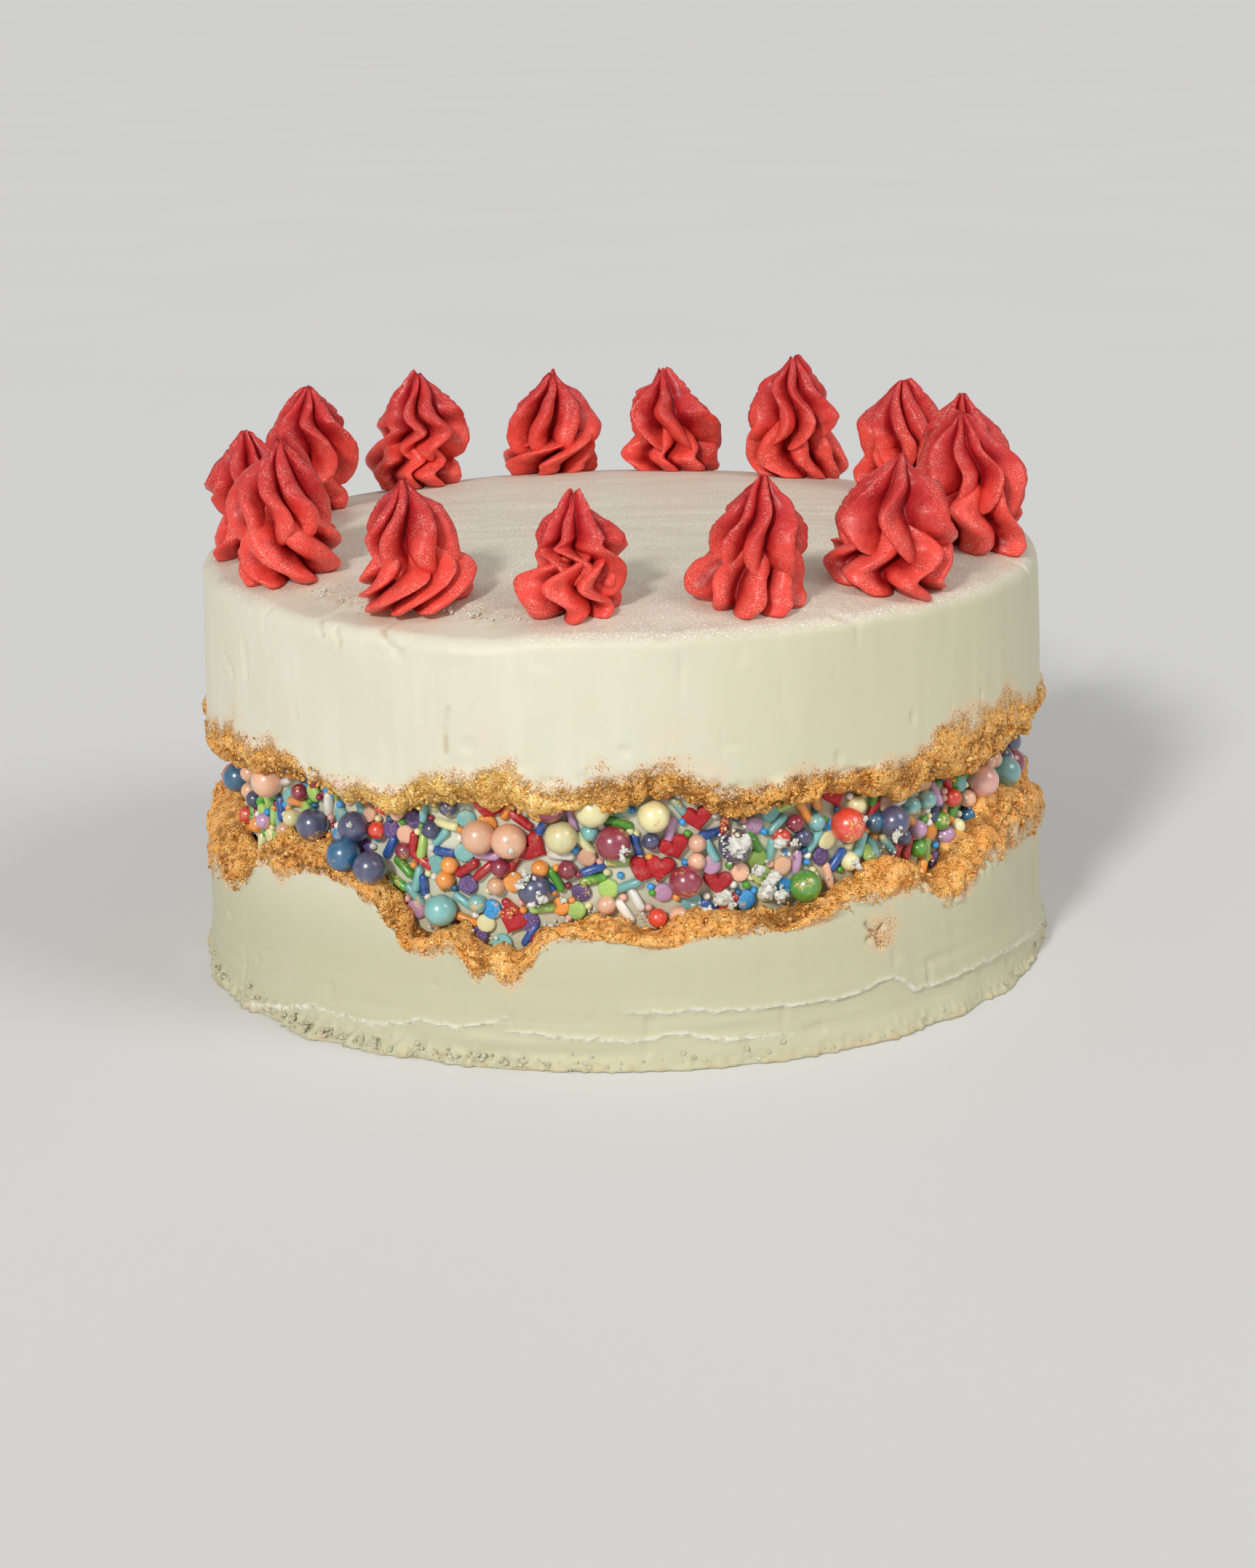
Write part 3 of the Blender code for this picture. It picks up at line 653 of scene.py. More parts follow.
def upper_rows(bearing, lip, shoulder):
    """Rows (radius, height) of the upper coat, from its inner edge up to the top's middle."""
    inner = CORE_R + GAP + 0 * bearing
    rows = [(inner, CORE_HIGH + GAP + 0 * bearing), (inner, lip + 4.0), (inner, lip + 1.4)]
    rows += torn_face(bearing, lip, shoulder, 23, np.linspace(0, 1, UPPER_TORN_ROWS))
    for share in np.linspace(0, 1, UPPER_SIDE_ROWS)[1:]:
        z = shoulder + (RIM_FROM - shoulder) * share
        rows.append((side_radius(bearing, z), z))
    corner = rim_corner(bearing)
    centre_z = top_height(corner, 0.0) - RIM_ROUND
    for angle in np.linspace(0, 88, RIM_ROWS):
        turn = math.radians(angle)
        rows.append((corner + RIM_ROUND * math.cos(turn), centre_z + RIM_ROUND * math.sin(turn)))
    for share in np.linspace(0, 1, TOP_ROWS)[1:]:
        radius = corner + (TOP_MIDDLE - corner) * share
        rows.append((radius, top_height(radius, 0.0)))
    return rows


def dragged(points):
    """Relief of the top, dragged level along X."""
    drag = noise(points * np.array([0.12, 1, 1]), 3.0, 6.0) * 0.16
    return drag + noise(points, 20.0, 2.0) * 0.3


def upper_coat():
    bearing = coat_bearings()
    lip, shoulder = upper_edge(bearing)
    corner = rim_corner(bearing)
    radii, heights = stacked(upper_rows(bearing, lip, shoulder))
    grid = place(bearing[None, :], radii, heights)
    share = (heights - lip) / (shoulder - lip)
    below_rim = heights < GOLD_BELOW
    fade = (1 - step_between(FACE_SHARE, 1.05, share)) * below_rim
    fade[:2] = 0
    outward = grid_normals(grid)
    on_side = (share > 0.5) & (radii > 100)
    relief, hollow = torn_relief(grid, fade, 0.0)
    relief = relief + scraped(grid) * on_side * (1 - fade)
    marks = cracked(bearing[None, :] + 0 * heights, heights) * on_side
    relief = relief + 0.9 * marks
    on_top = (radii < corner) & (heights > 95)
    relief = relief + dragged(grid) * on_top * step_between(0, 10, radii)
    # smear is the tan band beside the scraped ledge
    ledge, smear = scraped_ledge(grid, radii, heights)
    sway = lip_sway(grid, fade, 1.0)
    grid = grid + outward * relief[..., None]
    grid[..., 2] += sway - ledge
    spread = 1.25 + 0.25 * np.clip(ragged(bearing, 51), -0.6, 1.2) + 0.5 * reach_up(bearing)
    gold = np.maximum(gilding(share, spread, grid), dusted(bearing, heights)) * below_rim
    gold[:2] = 0
    stain = np.clip(1 - (heights - shoulder) / 14.0, 0, 1) * on_side
    dust = step_between(99.5, 102.5, heights) * (radii < corner + RIM_ROUND)
    fields = {
        "gold": gold,
        "warm": gold_warmth(bearing, True) + 0 * heights,
        "thin": np.clip(0.10 + 0.15 * ragged(bearing, 54), 0, 1) + 0 * heights,
        "dust": dust * (1 - np.clip(ledge * 0.6, 0, 0.9)),
        "torn": 0 * heights,
        "stain": stain * (noise(grid, 12.0, 8.0) > -0.1),
        # painted shade: subtracting marks darkens the cracks with the scrape colour
        "scrape": 1.3 * smear - marks,
        "hollow": hollow,
    }
    return closed_grid(
        "upper_coat", grid, (0, 0, CORE_HIGH + GAP), (0, 0, RIM_Z + CROWN), fields
    )


def reach_up(bearing):
    """Where the gold was brushed further up the side, near the right end of the front."""
    at = around(bearing)
    return np.exp(-(((at - 56) / 14.0) ** 2)) + 0.7 * np.exp(-(((at + 66) / 7.0) ** 2))


def gold_warmth(bearing, upper):
    """From 0, bright yellow gold, to 1, copper and ochre, round the cake."""
    at = around(bearing)
    bright = np.exp(-(((at + 26) / 22.0) ** 4)) if upper else 0.15 + 0 * at
    return np.clip(0.95 - 0.85 * bright + 0.1 * ragged(bearing, 61), 0, 1)


def scraped_ledge(grid, radii, heights):
    """How much lower the top is where its edge was scraped, and the tan band beside it."""
    x, y = grid[..., 0], grid[..., 1]
    bearing = np.degrees(np.arctan2(x, -y))
    inside = step_between(*LEDGE_STARTS, bearing) * (1 - step_between(*LEDGE_ENDS, bearing))
    wobble = 2.6 * noise(grid, 7.0, 3.0) + 1.2 * noise(grid, 2.2, 4.0)
    at_edge = inside * step_between(94.0, 100.5, heights)
    smear = step_between(84.0, 92.0, radii + 1.5 * wobble)
    smear = smear * (1 - step_between(93.5, 97.0, radii + wobble))
    drop = LEDGE_DROP * at_edge * step_between(LEDGE_R, LEDGE_R + 1.2, radii + wobble)
    return drop, at_edge * smear


def lower_rows(bearing, lip, shoulder):
    """Rows (radius, height) of the lower coat from its foot up, and how many lie on its side."""
    inner = CORE_R + GAP + 0 * bearing
    rows = [(foot_radius(bearing, 0 * bearing) - 0.8, 0 * bearing)]
    for z in np.concatenate([[0.35, 0.8], np.linspace(1.3, FOOT_TOP, FOOT_ROWS)]):
        rows.append((foot_radius(bearing, z + 0 * bearing), z + 0 * bearing))
    for share in np.linspace(0, 1, LOWER_SIDE_ROWS + 1)[1:]:
        z = FOOT_TOP + (shoulder - FOOT_TOP) * share
        rows.append((side_radius(bearing, z), z))
    on_side = len(rows) - 1
    rows += torn_face(bearing, lip, shoulder, 33, np.linspace(1, 0, LOWER_TORN_ROWS)[1:])
    rows.append((inner, lip - 1.2))
    rows.append((inner, lip - 4.0))
    rows.append((inner, CORE_LOW - GAP + 0 * bearing))
    return rows, on_side


def lower_coat():
    bearing = coat_bearings()
    lip, shoulder = lower_edge(bearing)
    rows, top_side = lower_rows(bearing, lip, shoulder)
    radii, heights = stacked(rows)
    grid = place(bearing[None, :], radii, heights)
    row = np.arange(len(rows))[:, None]
    face_rows = (row >= top_side) & (row < len(rows) - 2)
    side_rows = row < top_side
    share = (heights - lip) / (shoulder - lip)
    fade = np.where(face_rows, 1 - step_between(FACE_SHARE, 1.05, share), 0.0)
    outward = grid_normals(grid)
    on_side = (row < len(rows) - 8) & (share > 0.5) & (heights > 0.2)
    relief, hollow = torn_relief(grid, fade, 11.0)
    relief = relief + scraped(grid) * on_side * (1 - fade)
    relief = relief + spatula_ridges(grid, bearing, heights) * on_side * (1 - fade)
    level = bearing[None, :] + 0 * heights
    smear, torn = smeared(around(level), heights, grid)
    marks = cracked(level, heights) * side_rows
    relief = relief + smear * side_rows + 1.3 * marks
    # painted shade: the cracks count as hollows, which the gold darkens
    hollow = np.maximum(hollow, -marks)
    sway = lip_sway(grid, fade, 2.0)
    grid = grid + outward * relief[..., None]
    grid[..., 2] = np.maximum(grid[..., 2] + sway, 0.0)
    spread = 1.15 + 0.3 * np.clip(ragged(bearing, 52), -0.5, 1.3)
    gold = np.maximum(gilding(share, spread, grid), dusted(level, heights)) * (row < len(rows) - 2)
    fields = {
        "gold": gold,
        "warm": gold_warmth(bearing, False) + 0 * heights,
        "dust": 0 * heights,
        "thin": np.clip(0.55 + 0.35 * ragged(bearing, 53), 0, 1) + 0 * heights,
        "stain": 0.6 * np.clip(1 - (shoulder - heights) / 9.0, 0, 1) * side_rows,
        # painted shade: the cracks take the scrape colour
        "scrape": -marks,
        "torn": torn * side_rows,
        "hollow": hollow,
    }
    return closed_grid("lower_coat", grid, (0, 0, 0), (0, 0, CORE_LOW - GAP), fields)


def spatula_ridges(grid, bearing, heights):
    """Level ridges that the spatula left low on the side, breaking up as they run."""
    lines = noise(grid * np.array([0.09, 0.09, 1.0]), 2.3, 2.2)
    tall = noise(grid * np.array([0.05, 0.05, 1.0]), 6.0, 7.7)
    low = 1 - step_between(10.0, 22.0, heights + 5 * ragged(bearing, 71))
    crumbs = np.clip(noise(grid, 1.5, 5.1), 0, 1) * (1 - step_between(1.0, 4.0, heights))
    left = np.exp(-(((around(bearing) + 45) / 26.0) ** 2))
    fine = np.clip(noise(grid, 1.4, 2.8), -0.3, 1) * (1 - step_between(2.0, 6.5, heights))
    lines = low * (0.35 * lines + 0.5 * np.clip(tall, 0, 1))
    return lines + 0.9 * crumbs + (0.3 + 1.0 * left) * fine


def band_core():
    """The smooth cream coat under the sprinkles."""
    bearing = np.arange(BAND_COLUMNS) * 360.0 / BAND_COLUMNS
    heights = np.linspace(*BAND_SPAN, BAND_ROWS)[:, None] + 0 * bearing
    radii = CORE_R - 0.5 + 0 * heights
    grid = place(bearing[None, :], radii, heights)
    smears = noise(grid * np.array([1, 1, 1.6]), 7.0, 4.0) * 0.55 + noise(grid, 2.5, 6.0) * 0.16
    grid = grid + grid_normals(grid) * smears[..., None]
    low = place(bearing, CORE_R - 0.5, CORE_LOW)[None]
    high = place(bearing, CORE_R - 0.5, CORE_HIGH)[None]
    grid = np.concatenate([low, grid, high])
    plain = ("gold", "warm", "thin", "dust", "scrape", "torn", "hollow")
    fields = {name: np.zeros(grid.shape[:2]) for name in plain}
    fields["stain"] = np.full(grid.shape[:2], BAND_STAIN)
    return closed_grid("band_coat", grid, (0, 0, CORE_LOW), (0, 0, CORE_HIGH), fields)


# Piped swirls


def curve_through(knots, share):
    """A smooth curve through (position, value) knots, evaluated at an array of shares."""
    places = np.array([knot[0] for knot in knots])
    values = np.array([knot[1] for knot in knots])
    after = np.clip(np.searchsorted(places, share, side="right"), 1, len(places) - 1)
    span = places[after] - places[after - 1]
    part = np.clip((share - places[after - 1]) / span, 0, 1)

    def slope(index):
        left = np.clip(index - 1, 0, len(places) - 1)
        right = np.clip(index + 1, 0, len(places) - 1)
        return (values[right] - values[left]) / (places[right] - places[left])

    start = slope(after - 1) * span
    end = slope(after) * span
    square, cube = part**2, part**3
    result = (2 * cube - 3 * square + 1) * values[after - 1] + (cube - 2 * square + part) * start
    return result + (3 * square - 2 * cube) * values[after] + (cube - square) * end


def tier_grid(index, spec, tier):
    """Points of one tier of a swirl and how near each is to a ridge's crest, level by level."""
    bearing, ring_r, height, width, lean_x, lean_y, start, turns, style, hand = spec
    foot, top, levels, profile = TIERS[tier]
    base = tier == "base"
    sharp, base_turns, crown_turns = STYLES[style]
    rng = random.Random(SWIRL_SEED + 2 * index + base)
    lobes = np.array([rng.uniform(-0.10, 0.13) for _ in range(RIDGES)])
    stands = np.array([rng.uniform(-1.2, 2.6) for _ in range(RIDGES)])
    phase = rng.uniform(0, 6.283)
    leans = np.array([rng.uniform(-0.16, 0.16) for _ in range(RIDGES)])
    part = np.linspace(0, 0.985, levels)[:, None]
    share = foot + (top - foot) * part
    fade = 1 - share
    angle = (np.arange(SWIRL_SIDES) * 2 * math.pi / SWIRL_SIDES)[None, :]
    ridge = angle / (2 * math.pi) * RIDGES
    near = np.floor(ridge + 0.5).astype(int) % RIDGES
    aside = np.abs(2 * (ridge - np.floor(ridge + 0.5)))
    sharp = sharp * (0.4 if base else 1.0)
    crest = (1 - sharp) * (1 - aside**2.4) + sharp * (1 - aside) ** 1.1
    uneven = 0.16 * np.sin(angle + phase) + 0.10 * np.sin(2 * angle + 2 * phase)
    start_up = step_between(0.0, 0.12, share)
    coil = math.radians(start) + hand * math.radians(360 * turns) * share
    drift = 1.8 * fade**1.1 * np.clip(share / 0.10, 0.4, 1)
    twist = hand * curve_through(base_turns if base else crown_turns, part) + (0 if base else phase)
    bend = hand * (0.30 if base else 0.20) * np.sin(2 * math.pi * 1.4 * share + phase) * fade**0.5
    bend = (bend + leans[near]) * (0.3 + 0.7 * start_up)
    facing = np.sin(angle - math.radians(start) - 1.2)
    grow = 1 + lobes[near] * crest + 0.08 * facing * crest * (1 if base else -0.6)
    depth = (0.56 if base else 0.64) + 0.05 * np.sin(3 * math.pi * part + phase)
    radius = SWIRL_R * width * curve_through(profile, part) * grow * (1 - depth * (1 - crest))
    turn = angle + uneven + twist + bend * crest
    centre = place(bearing, ring_r, 0.0)
    x = centre[0] + drift * np.cos(coil) + lean_x * share**1.3 + radius * np.cos(turn)
    y = centre[1] + drift * np.sin(coil) + lean_y * share**1.3 + radius * np.sin(turn)
    rise = share * height + 1.2 * np.sin(math.pi * share) * np.cos(angle - coil) * crest * start_up
    if base:
        rise = rise + stands[near] * crest * step_between(0.3, 0.9, part)
    else:
        rise = rise - (2.4 + stands[near]) * crest**1.3 * np.exp(-(((part - 0.08) / 0.13) ** 2))
        rise = rise + 1.5 * (stands[near] - 1.7) * crest * np.clip((part - 0.6) / 0.4, 0, 1) ** 1.5
    sit = top_height(centre[0], centre[1])
    sit = sit + (top_height(x, y) - sit) * fade**3
    return np.stack([x, y, sit + GAP + np.maximum(rise, 0.0)], -1), crest, share


def roughened(grid, crest, share, index):
    """Small unevenness and torn flecks along the crests of a swirl."""
    middle = grid.mean(1, keepdims=True)
    away = grid - middle
    away[..., 2] = 0
    length = np.linalg.norm(away, axis=-1, keepdims=True) + 1e-6
    away = away / length
    push = noise(grid, 4.0, index * 1.3) * 0.45 + noise(grid, 1.6, index * 2.7) * 0.2
    push = push + noise(grid, 0.8, index * 0.9) * 0.1
    push = push * np.clip(share * 6, 0.2, 1) * np.clip(length[..., 0] / 3, 0, 1)
    tear = np.clip(noise(grid, 1.0, index * 1.9) - 0.1, 0, 1) * crest**5
    tear = tear * np.clip((share - 0.35) * 2, 0, 1)
    return grid + away * (push - 1.3 * tear)[..., None]


def make_swirl(index, spec):
    points, quads, fans, fields, count = [], [], [], {"crest": [], "rise": []}, 0
    for tier in TIERS:
        grid, crest, share = tier_grid(index, spec, tier)
        grid = roughened(grid, crest, share, index)
        grid[..., 2] = np.minimum(grid[..., 2], CAD_TOP)
        low = grid[0].mean(0)
        low[2] = grid[0][:, 2].min()
        high = grid[-1].mean(0)
        high[2] = min(high[2] + 0.5, CAD_TOP)
        body, sides, ends = ringed(grid, low, high)
        points.append(body)
        quads.append(sides + count)
        fans += [tuple(corner + count for corner in fan) for fan in ends]
        fields["crest"].append(ended(crest + 0 * share))
        fields["rise"].append(ended(share + 0 * crest))
        count += len(body)
    node = f"swirl_{index + 1:02d}"
    values = {name: np.concatenate(parts) for name, parts in fields.items()}
    piece = make_piece(f"piped_{node}", np.vstack(points), np.vstack(quads), fans, fields=values)
    return piece, node


# Sprinkles, crumbs and gold flakes: one template each, copied into one mesh


def stacked_rings(low, rings, high):
    """A template as (points, faces): rings of points between a low and a high end point."""
    count = len(rings[0])
    points = [low] + [point for ring in rings for point in ring] + [high]
    last = len(points) - 1
    faces = []
    for step in range(count):
        onward = (step + 1) % count
        faces.append((0, 1 + onward, 1 + step))
        faces.append((last, last - count + step, last - count + onward))
        for ring in range(len(rings) - 1):
            start = 1 + ring * count
            faces.append((start + step, start + onward, start + onward + count, start + step + count))
    return np.array(points), faces


def round_template(columns, rows):
    """A unit ball."""
    turns = [2 * math.pi * column / columns for column in range(columns)]
    rings = []
    for row in range(1, rows):
        angle = math.pi * row / rows
        ring = 0.5 * math.sin(angle)
        z = -0.5 * math.cos(angle)
        rings.append([(ring * math.cos(turn), ring * math.sin(turn), z) for turn in turns])
    return stacked_rings((0.0, 0.0, -0.5), rings, (0.0, 0.0, 0.5))


def rod_template():
    """A short rounded rod along its own x, of unit width, stretched when it is placed."""
    points, faces = round_template(10, 8)
    points = points[:, [2, 0, 1]]
    spare = (SIZES["rod"][1] - SIZES["rod"][0]) / SIZES["rod"][0] / 2
    points[:, 0] += np.sign(points[:, 0]) * spare
    return points, faces


def flat_template(outline, profile):
    """A flat shape: its outline at each (share of the outline, height) of a closed profile."""
    rings = [[(x * share, y * share, height) for x, y in outline] for share, height in profile]
    return stacked_rings((0.0, 0.0, profile[0][1]), rings, (0.0, 0.0, profile[-1][1]))


FLAT_PROFILE = [(0.82, -0.5), (0.97, -0.3), (1.0, 0.0), (0.97, 0.3), (0.84, 0.47), (0.5, 0.52)]


def disc_template():
    outline = []
    for step in range(16):
        turn = 2 * math.pi * step / 16
        outline.append((0.5 * math.cos(turn), 0.5 * math.sin(turn)))
    return flat_template(outline, FLAT_PROFILE)


def heart_template():
    """A heart from its usual curve, with its point towards -y."""
    outline = []
    for step in range(36):
        turn = 2 * math.pi * step / 36
        x = 16 * math.sin(turn) ** 3
        y = 13 * math.cos(turn) - 5 * math.cos(2 * turn) - 2 * math.cos(3 * turn)
        y -= math.cos(4 * turn)
        outline.append((-x / 32, (y + 2.5) / 31))
    return flat_template(outline, FLAT_PROFILE)


TEMPLATES = {
    "pearl": round_template(28, 16),
    "bead": round_template(20, 11),
    "dot": round_template(8, 6),
    "rod": rod_template(),
    "disc": disc_template(),
    "heart": heart_template(),
}


class Heap:
    """Gathers copies of templates into one mesh."""

    def __init__(self):
        self.points = []
        self.faces = []
        self.tints = []
        self.count = 0

    def add(self, template, matrix, tint):
        """Adds a copy, moved by a 3 by 4 array."""
        points, faces = template
        self.points.append(points @ matrix[:, :3].T + matrix[:, 3])
        start = self.count
        self.faces += [tuple(corner + start for corner in face) for face in faces]
        self.tints.append(np.tile(np.array(tint), (len(points), 1)))
        self.count += len(points)

    def make(self, name):
        return make_piece(
            name, np.vstack(self.points), np.zeros((0, 4), int), self.faces, np.vstack(self.tints)
        )


def seat(bearing, radius, z, turn, tilt_x, tilt_y, scale):
    """A 3 by 4 array that lays a shape against the band: its z points outwards."""
    outward = Vector(place(bearing, 1.0, 0.0))
    outward.z = 0.0
    outward.normalize()
    along = Vector((0, 0, 1)).cross(outward)
    basis = Matrix((along, outward.cross(along), outward)).transposed()
    basis = basis @ Matrix.Rotation(math.radians(turn), 3, "Z")
    basis = basis @ Matrix.Rotation(math.radians(tilt_x), 3, "X")
    basis = basis @ Matrix.Rotation(math.radians(tilt_y), 3, "Y")
    turned = np.array(basis) * np.array(scale)
    return np.concatenate([turned, np.array(place(bearing, radius, z))[:, None]], 1)


def sprinkle_scale(kind, rng):
    across, length, depth = SIZES[kind]
    grow = rng.uniform(0.94, 1.06)
    if kind == "rod":
        return (across * grow, across * grow, across * grow)
    return (across * grow, length * grow, depth * grow)


def lay_sprinkle(heaps, kind, colour, bearing, z, turn, rng, lift=0.0):
    depth = SIZES[kind][2]
    flat = kind in ("disc", "heart", "rod")
    radius = CORE_R + depth / 2 - min(SINK, depth * 0.35) + lift
    tilt = 14.0 if flat else 0.0
    matrix = seat(
        bearing, radius, z, turn, rng.uniform(-tilt, tilt), rng.uniform(-tilt, tilt),
        sprinkle_scale(kind, rng),
    )
    tint = np.clip(np.array(TINTS[colour]) * rng.uniform(0.85, 1.12), 0, 1)
    heaps[kind].add(TEMPLATES[kind], matrix, tint)


def band_limits():
    """Lip heights of both coats at every whole degree."""
    bearing = np.arange(360.0)
    return lower_edge(bearing)[0], upper_edge(bearing)[0]


def fill_band(heaps, taken, rng):
    """Draws the sprinkles that fill what is left of the band, the largest first."""
    low, high = band_limits()
    spots = [tuple(spot) for spot in taken]
    scale = math.radians(1) * CORE_R
    for kind, count, colours in FILL:
        across, length, _ = SIZES[kind]
        reach = (across + length) / 4
        large = kind in ("pearl", "heart")
        placed = 0
        for _ in range(count * 60):
            if placed == count:
                break
            bearing = rng.uniform(*HIDDEN_ARC) if large else rng.uniform(-180, 180)
            degree = int(bearing) % 360
            z = rng.uniform(low[degree] + 0.2 * reach, high[degree] - 0.2 * reach)
            centre = np.array(spots)
            along = ((bearing - centre[:, 0] + 180) % 360 - 180) * scale
            gaps = np.hypot(along, z - centre[:, 1]) - (centre[:, 2] + reach) * TIGHT[kind]
            if gaps.min() < 0:
                continue
            lift = rng.uniform(-0.2, 0.6) if kind == "dot" else rng.uniform(-0.1, 0.3)
            colour = rng.choice(colours)
            lay_sprinkle(heaps, kind, colour, bearing, z, rng.uniform(0, 360), rng, lift)
            spots.append((bearing, z, reach))
            placed += 1


def make_sprinkles():
    rng = random.Random(SPRINKLE_SEED)
    heaps = {kind: Heap() for kind in SIZES}
    taken = []
    for kind, marks in SEEN.items():
        size, length, depth = SIZES[kind]
        for colour, across, down, *turn in marks:
            bearing, z = seen_on_band(across, down, CORE_R + depth * 0.6)
            lay_sprinkle(heaps, kind, colour, bearing, z, sum(turn), rng)
            taken.append((bearing, z, (size + length) / 4))
    for colour, across, down in LEDGE_PEARLS:
        bearing, z = seen_on_band(across, down, CORE_R + 4 + LEDGE_OUT)
        lay_sprinkle(heaps, "pearl", colour, bearing, z, 0, rng, LEDGE_OUT)
        taken.append((bearing, z, SIZES["pearl"][0] / 2))
    fill_band(heaps, taken, rng)
    return {kind: heap.make(f"{kind}s") for kind, heap in heaps.items()}


def lump_template(columns, rows, uneven, seed):
    """A small uneven lump, from a ball."""
    points, faces = round_template(columns, rows)
    rough = 1.0 + uneven * noise(points, 0.28, seed) + 0.6 * uneven * noise(points, 0.12, seed)
    return points * rough[:, None], faces


LUMPS = [lump_template(7, 5, 0.4, seed * 1.7) for seed in range(6)]
CLUMPS = [lump_template(20, 13, 0.5, seed * 3.1) for seed in range(6)]
CHIPS = [lump_template(6, 4, 0.7, seed * 2.3) for seed in range(8)]
WHITE_CRUMB = (0.84, 0.84, 0.79)
BEIGE_CRUMB = (0.60, 0.53, 0.37)
CREAM_CRUMB = (0.64, 0.63, 0.48)
# Shares of a crumb's size along its three axes
CRUMB_SHAPE = (1.3, 1.0, 0.7)
LONG_CRUMB = (1.4, 1.0, 0.8)
LEDGE_CRUMBS = 300
FOOT_CRUMBS = 760
LIP_CRUMBS = 260
FLAKES = 1600


def spin(rng):
    return rng.uniform(0, 360), rng.uniform(0, 180), rng.uniform(0, 180)


def strew(heap, rng, bearing, radius, z, size, shape, tints=()):
    """Adds a small crumb, turned any way. It is white unless there are tints to draw from."""
    matrix = seat(bearing, radius, z, *spin(rng), tuple(size * share for share in shape))
    lump = rng.choice(LUMPS)
    heap.add(lump, matrix, rng.choice(tints) if tints else WHITE_CRUMB)


def crumb_heap(heap, rng, across, down, spread, count, lift):
    """A torn clump or two with small crumbs on and round them."""
    bearing, z = seen_on_band(across, down, CORE_R + lift)
    for _ in range(1 + count // 9):
        size = spread * rng.uniform(0.8, 1.3)
        at = bearing + math.degrees(rng.gauss(0, spread * 0.38) / CORE_R)
        up = z + rng.gauss(0, spread * 0.38)
        radius = CORE_R + lift + rng.uniform(-0.4, 0.3)
        shape = (size, size * rng.uniform(0.6, 0.9), size * rng.uniform(0.5, 0.8))
        heap.add(rng.choice(CLUMPS), seat(at, radius, up, *spin(rng), shape), WHITE_CRUMB)
    for _ in range(count):
        size = rng.choice((0.3, 0.4, 0.6, 0.9)) * rng.uniform(0.8, 1.3)
        x = rng.gauss(0, spread * 0.5)
        up = rng.gauss(0, spread * 0.5)
        radius = CORE_R + lift - 0.05 * (x * x + up * up) + rng.uniform(-0.9, 0.3)
        at = bearing + math.degrees(x / CORE_R)
        strew(heap, rng, at, radius, z + up, size, CRUMB_SHAPE)


def icing_crumbs():
    """Crumbs heaped on the sprinkles, and strewn on the scraped ledge, at the foot and the lip."""
    rng = random.Random(CRUMB_SEED)
    heap = Heap()
    for spot in CRUMB_HEAPS:
        crumb_heap(heap, rng, *spot)
    for _ in range(LEDGE_CRUMBS):
        bearing = rng.uniform(*LEDGE_ARC)
        radius = LEDGE_R + 2.4 * ragged(np.array([bearing * 3]), 81)[0] + rng.gauss(0, 1.6)
        size = rng.choice((0.2, 0.3, 0.4, 0.6)) * rng.uniform(0.8, 1.3)
        strew(heap, rng, bearing, radius, top_height(radius, 0.0) - 0.6, size, LONG_CRUMB)
    for _ in range(FOOT_CRUMBS):
        bearing = rng.choice((rng.gauss(-48, 14), rng.gauss(-30, 30), rng.uniform(-180, 180)))
        size = rng.choice((0.3, 0.4, 0.5, 0.7, 1.0)) * rng.uniform(0.8, 1.3)
        foot = float(foot_radius(np.array([bearing]), np.array([1.0]))[0])
        up = 0.95 * size + abs(rng.gauss(0, 1.3))
        radius = foot - 0.3 + rng.gauss(0, 0.3)
        tints = (CREAM_CRUMB, CREAM_CRUMB, BEIGE_CRUMB)
        strew(heap, rng, bearing, radius, up, size, LONG_CRUMB, tints)
    for _ in range(LIP_CRUMBS):
        bearing = rng.uniform(-180, 180)
        lip = lower_edge(np.array([bearing]))[0][0]
        size = rng.uniform(0.3, 0.9)
        radius = CORE_R + rng.uniform(0.2, 2.2)
        strew(heap, rng, bearing, radius, lip + rng.uniform(0.0, 2.2), size, CRUMB_SHAPE)
    return heap.make("icing_crumbs")


def gold_flakes():
    """Gilded crumbs that stand up along both torn faces."""
    rng = random.Random(FLAKE_SEED)
    heap = Heap()
    for edge, thin in ((upper_edge, 0.1), (lower_edge, 0.5)):
        bearings = np.array([rng.uniform(-180, 180) for _ in range(FLAKES)])
        lips, shoulders = edge(bearings)
        warms = gold_warmth(bearings, edge is upper_edge)
        for bearing, lip, shoulder, warm in zip(bearings, lips, shoulders, warms):
            share = 0.85 * rng.random()
            z = lip + (shoulder - lip) * share
            bulge = 1 - (1 - min(share / FACE_SHARE, 1)) ** 2.4
            radius = LIP_R + (side_radius(bearing, z) - LIP_R) * bulge + rng.uniform(-0.1, 0.8)
            size = rng.uniform(0.6, 2.0) * (1.1 - 0.7 * share)
            flat = (size, size * rng.uniform(0.6, 1), size * rng.uniform(0.3, 0.7))
            matrix = seat(bearing, radius, z, *spin(rng), flat)
            heap.add(rng.choice(CHIPS), matrix, (warm, thin, 0.0))
    return heap.make("gold_flakes")


# Materials


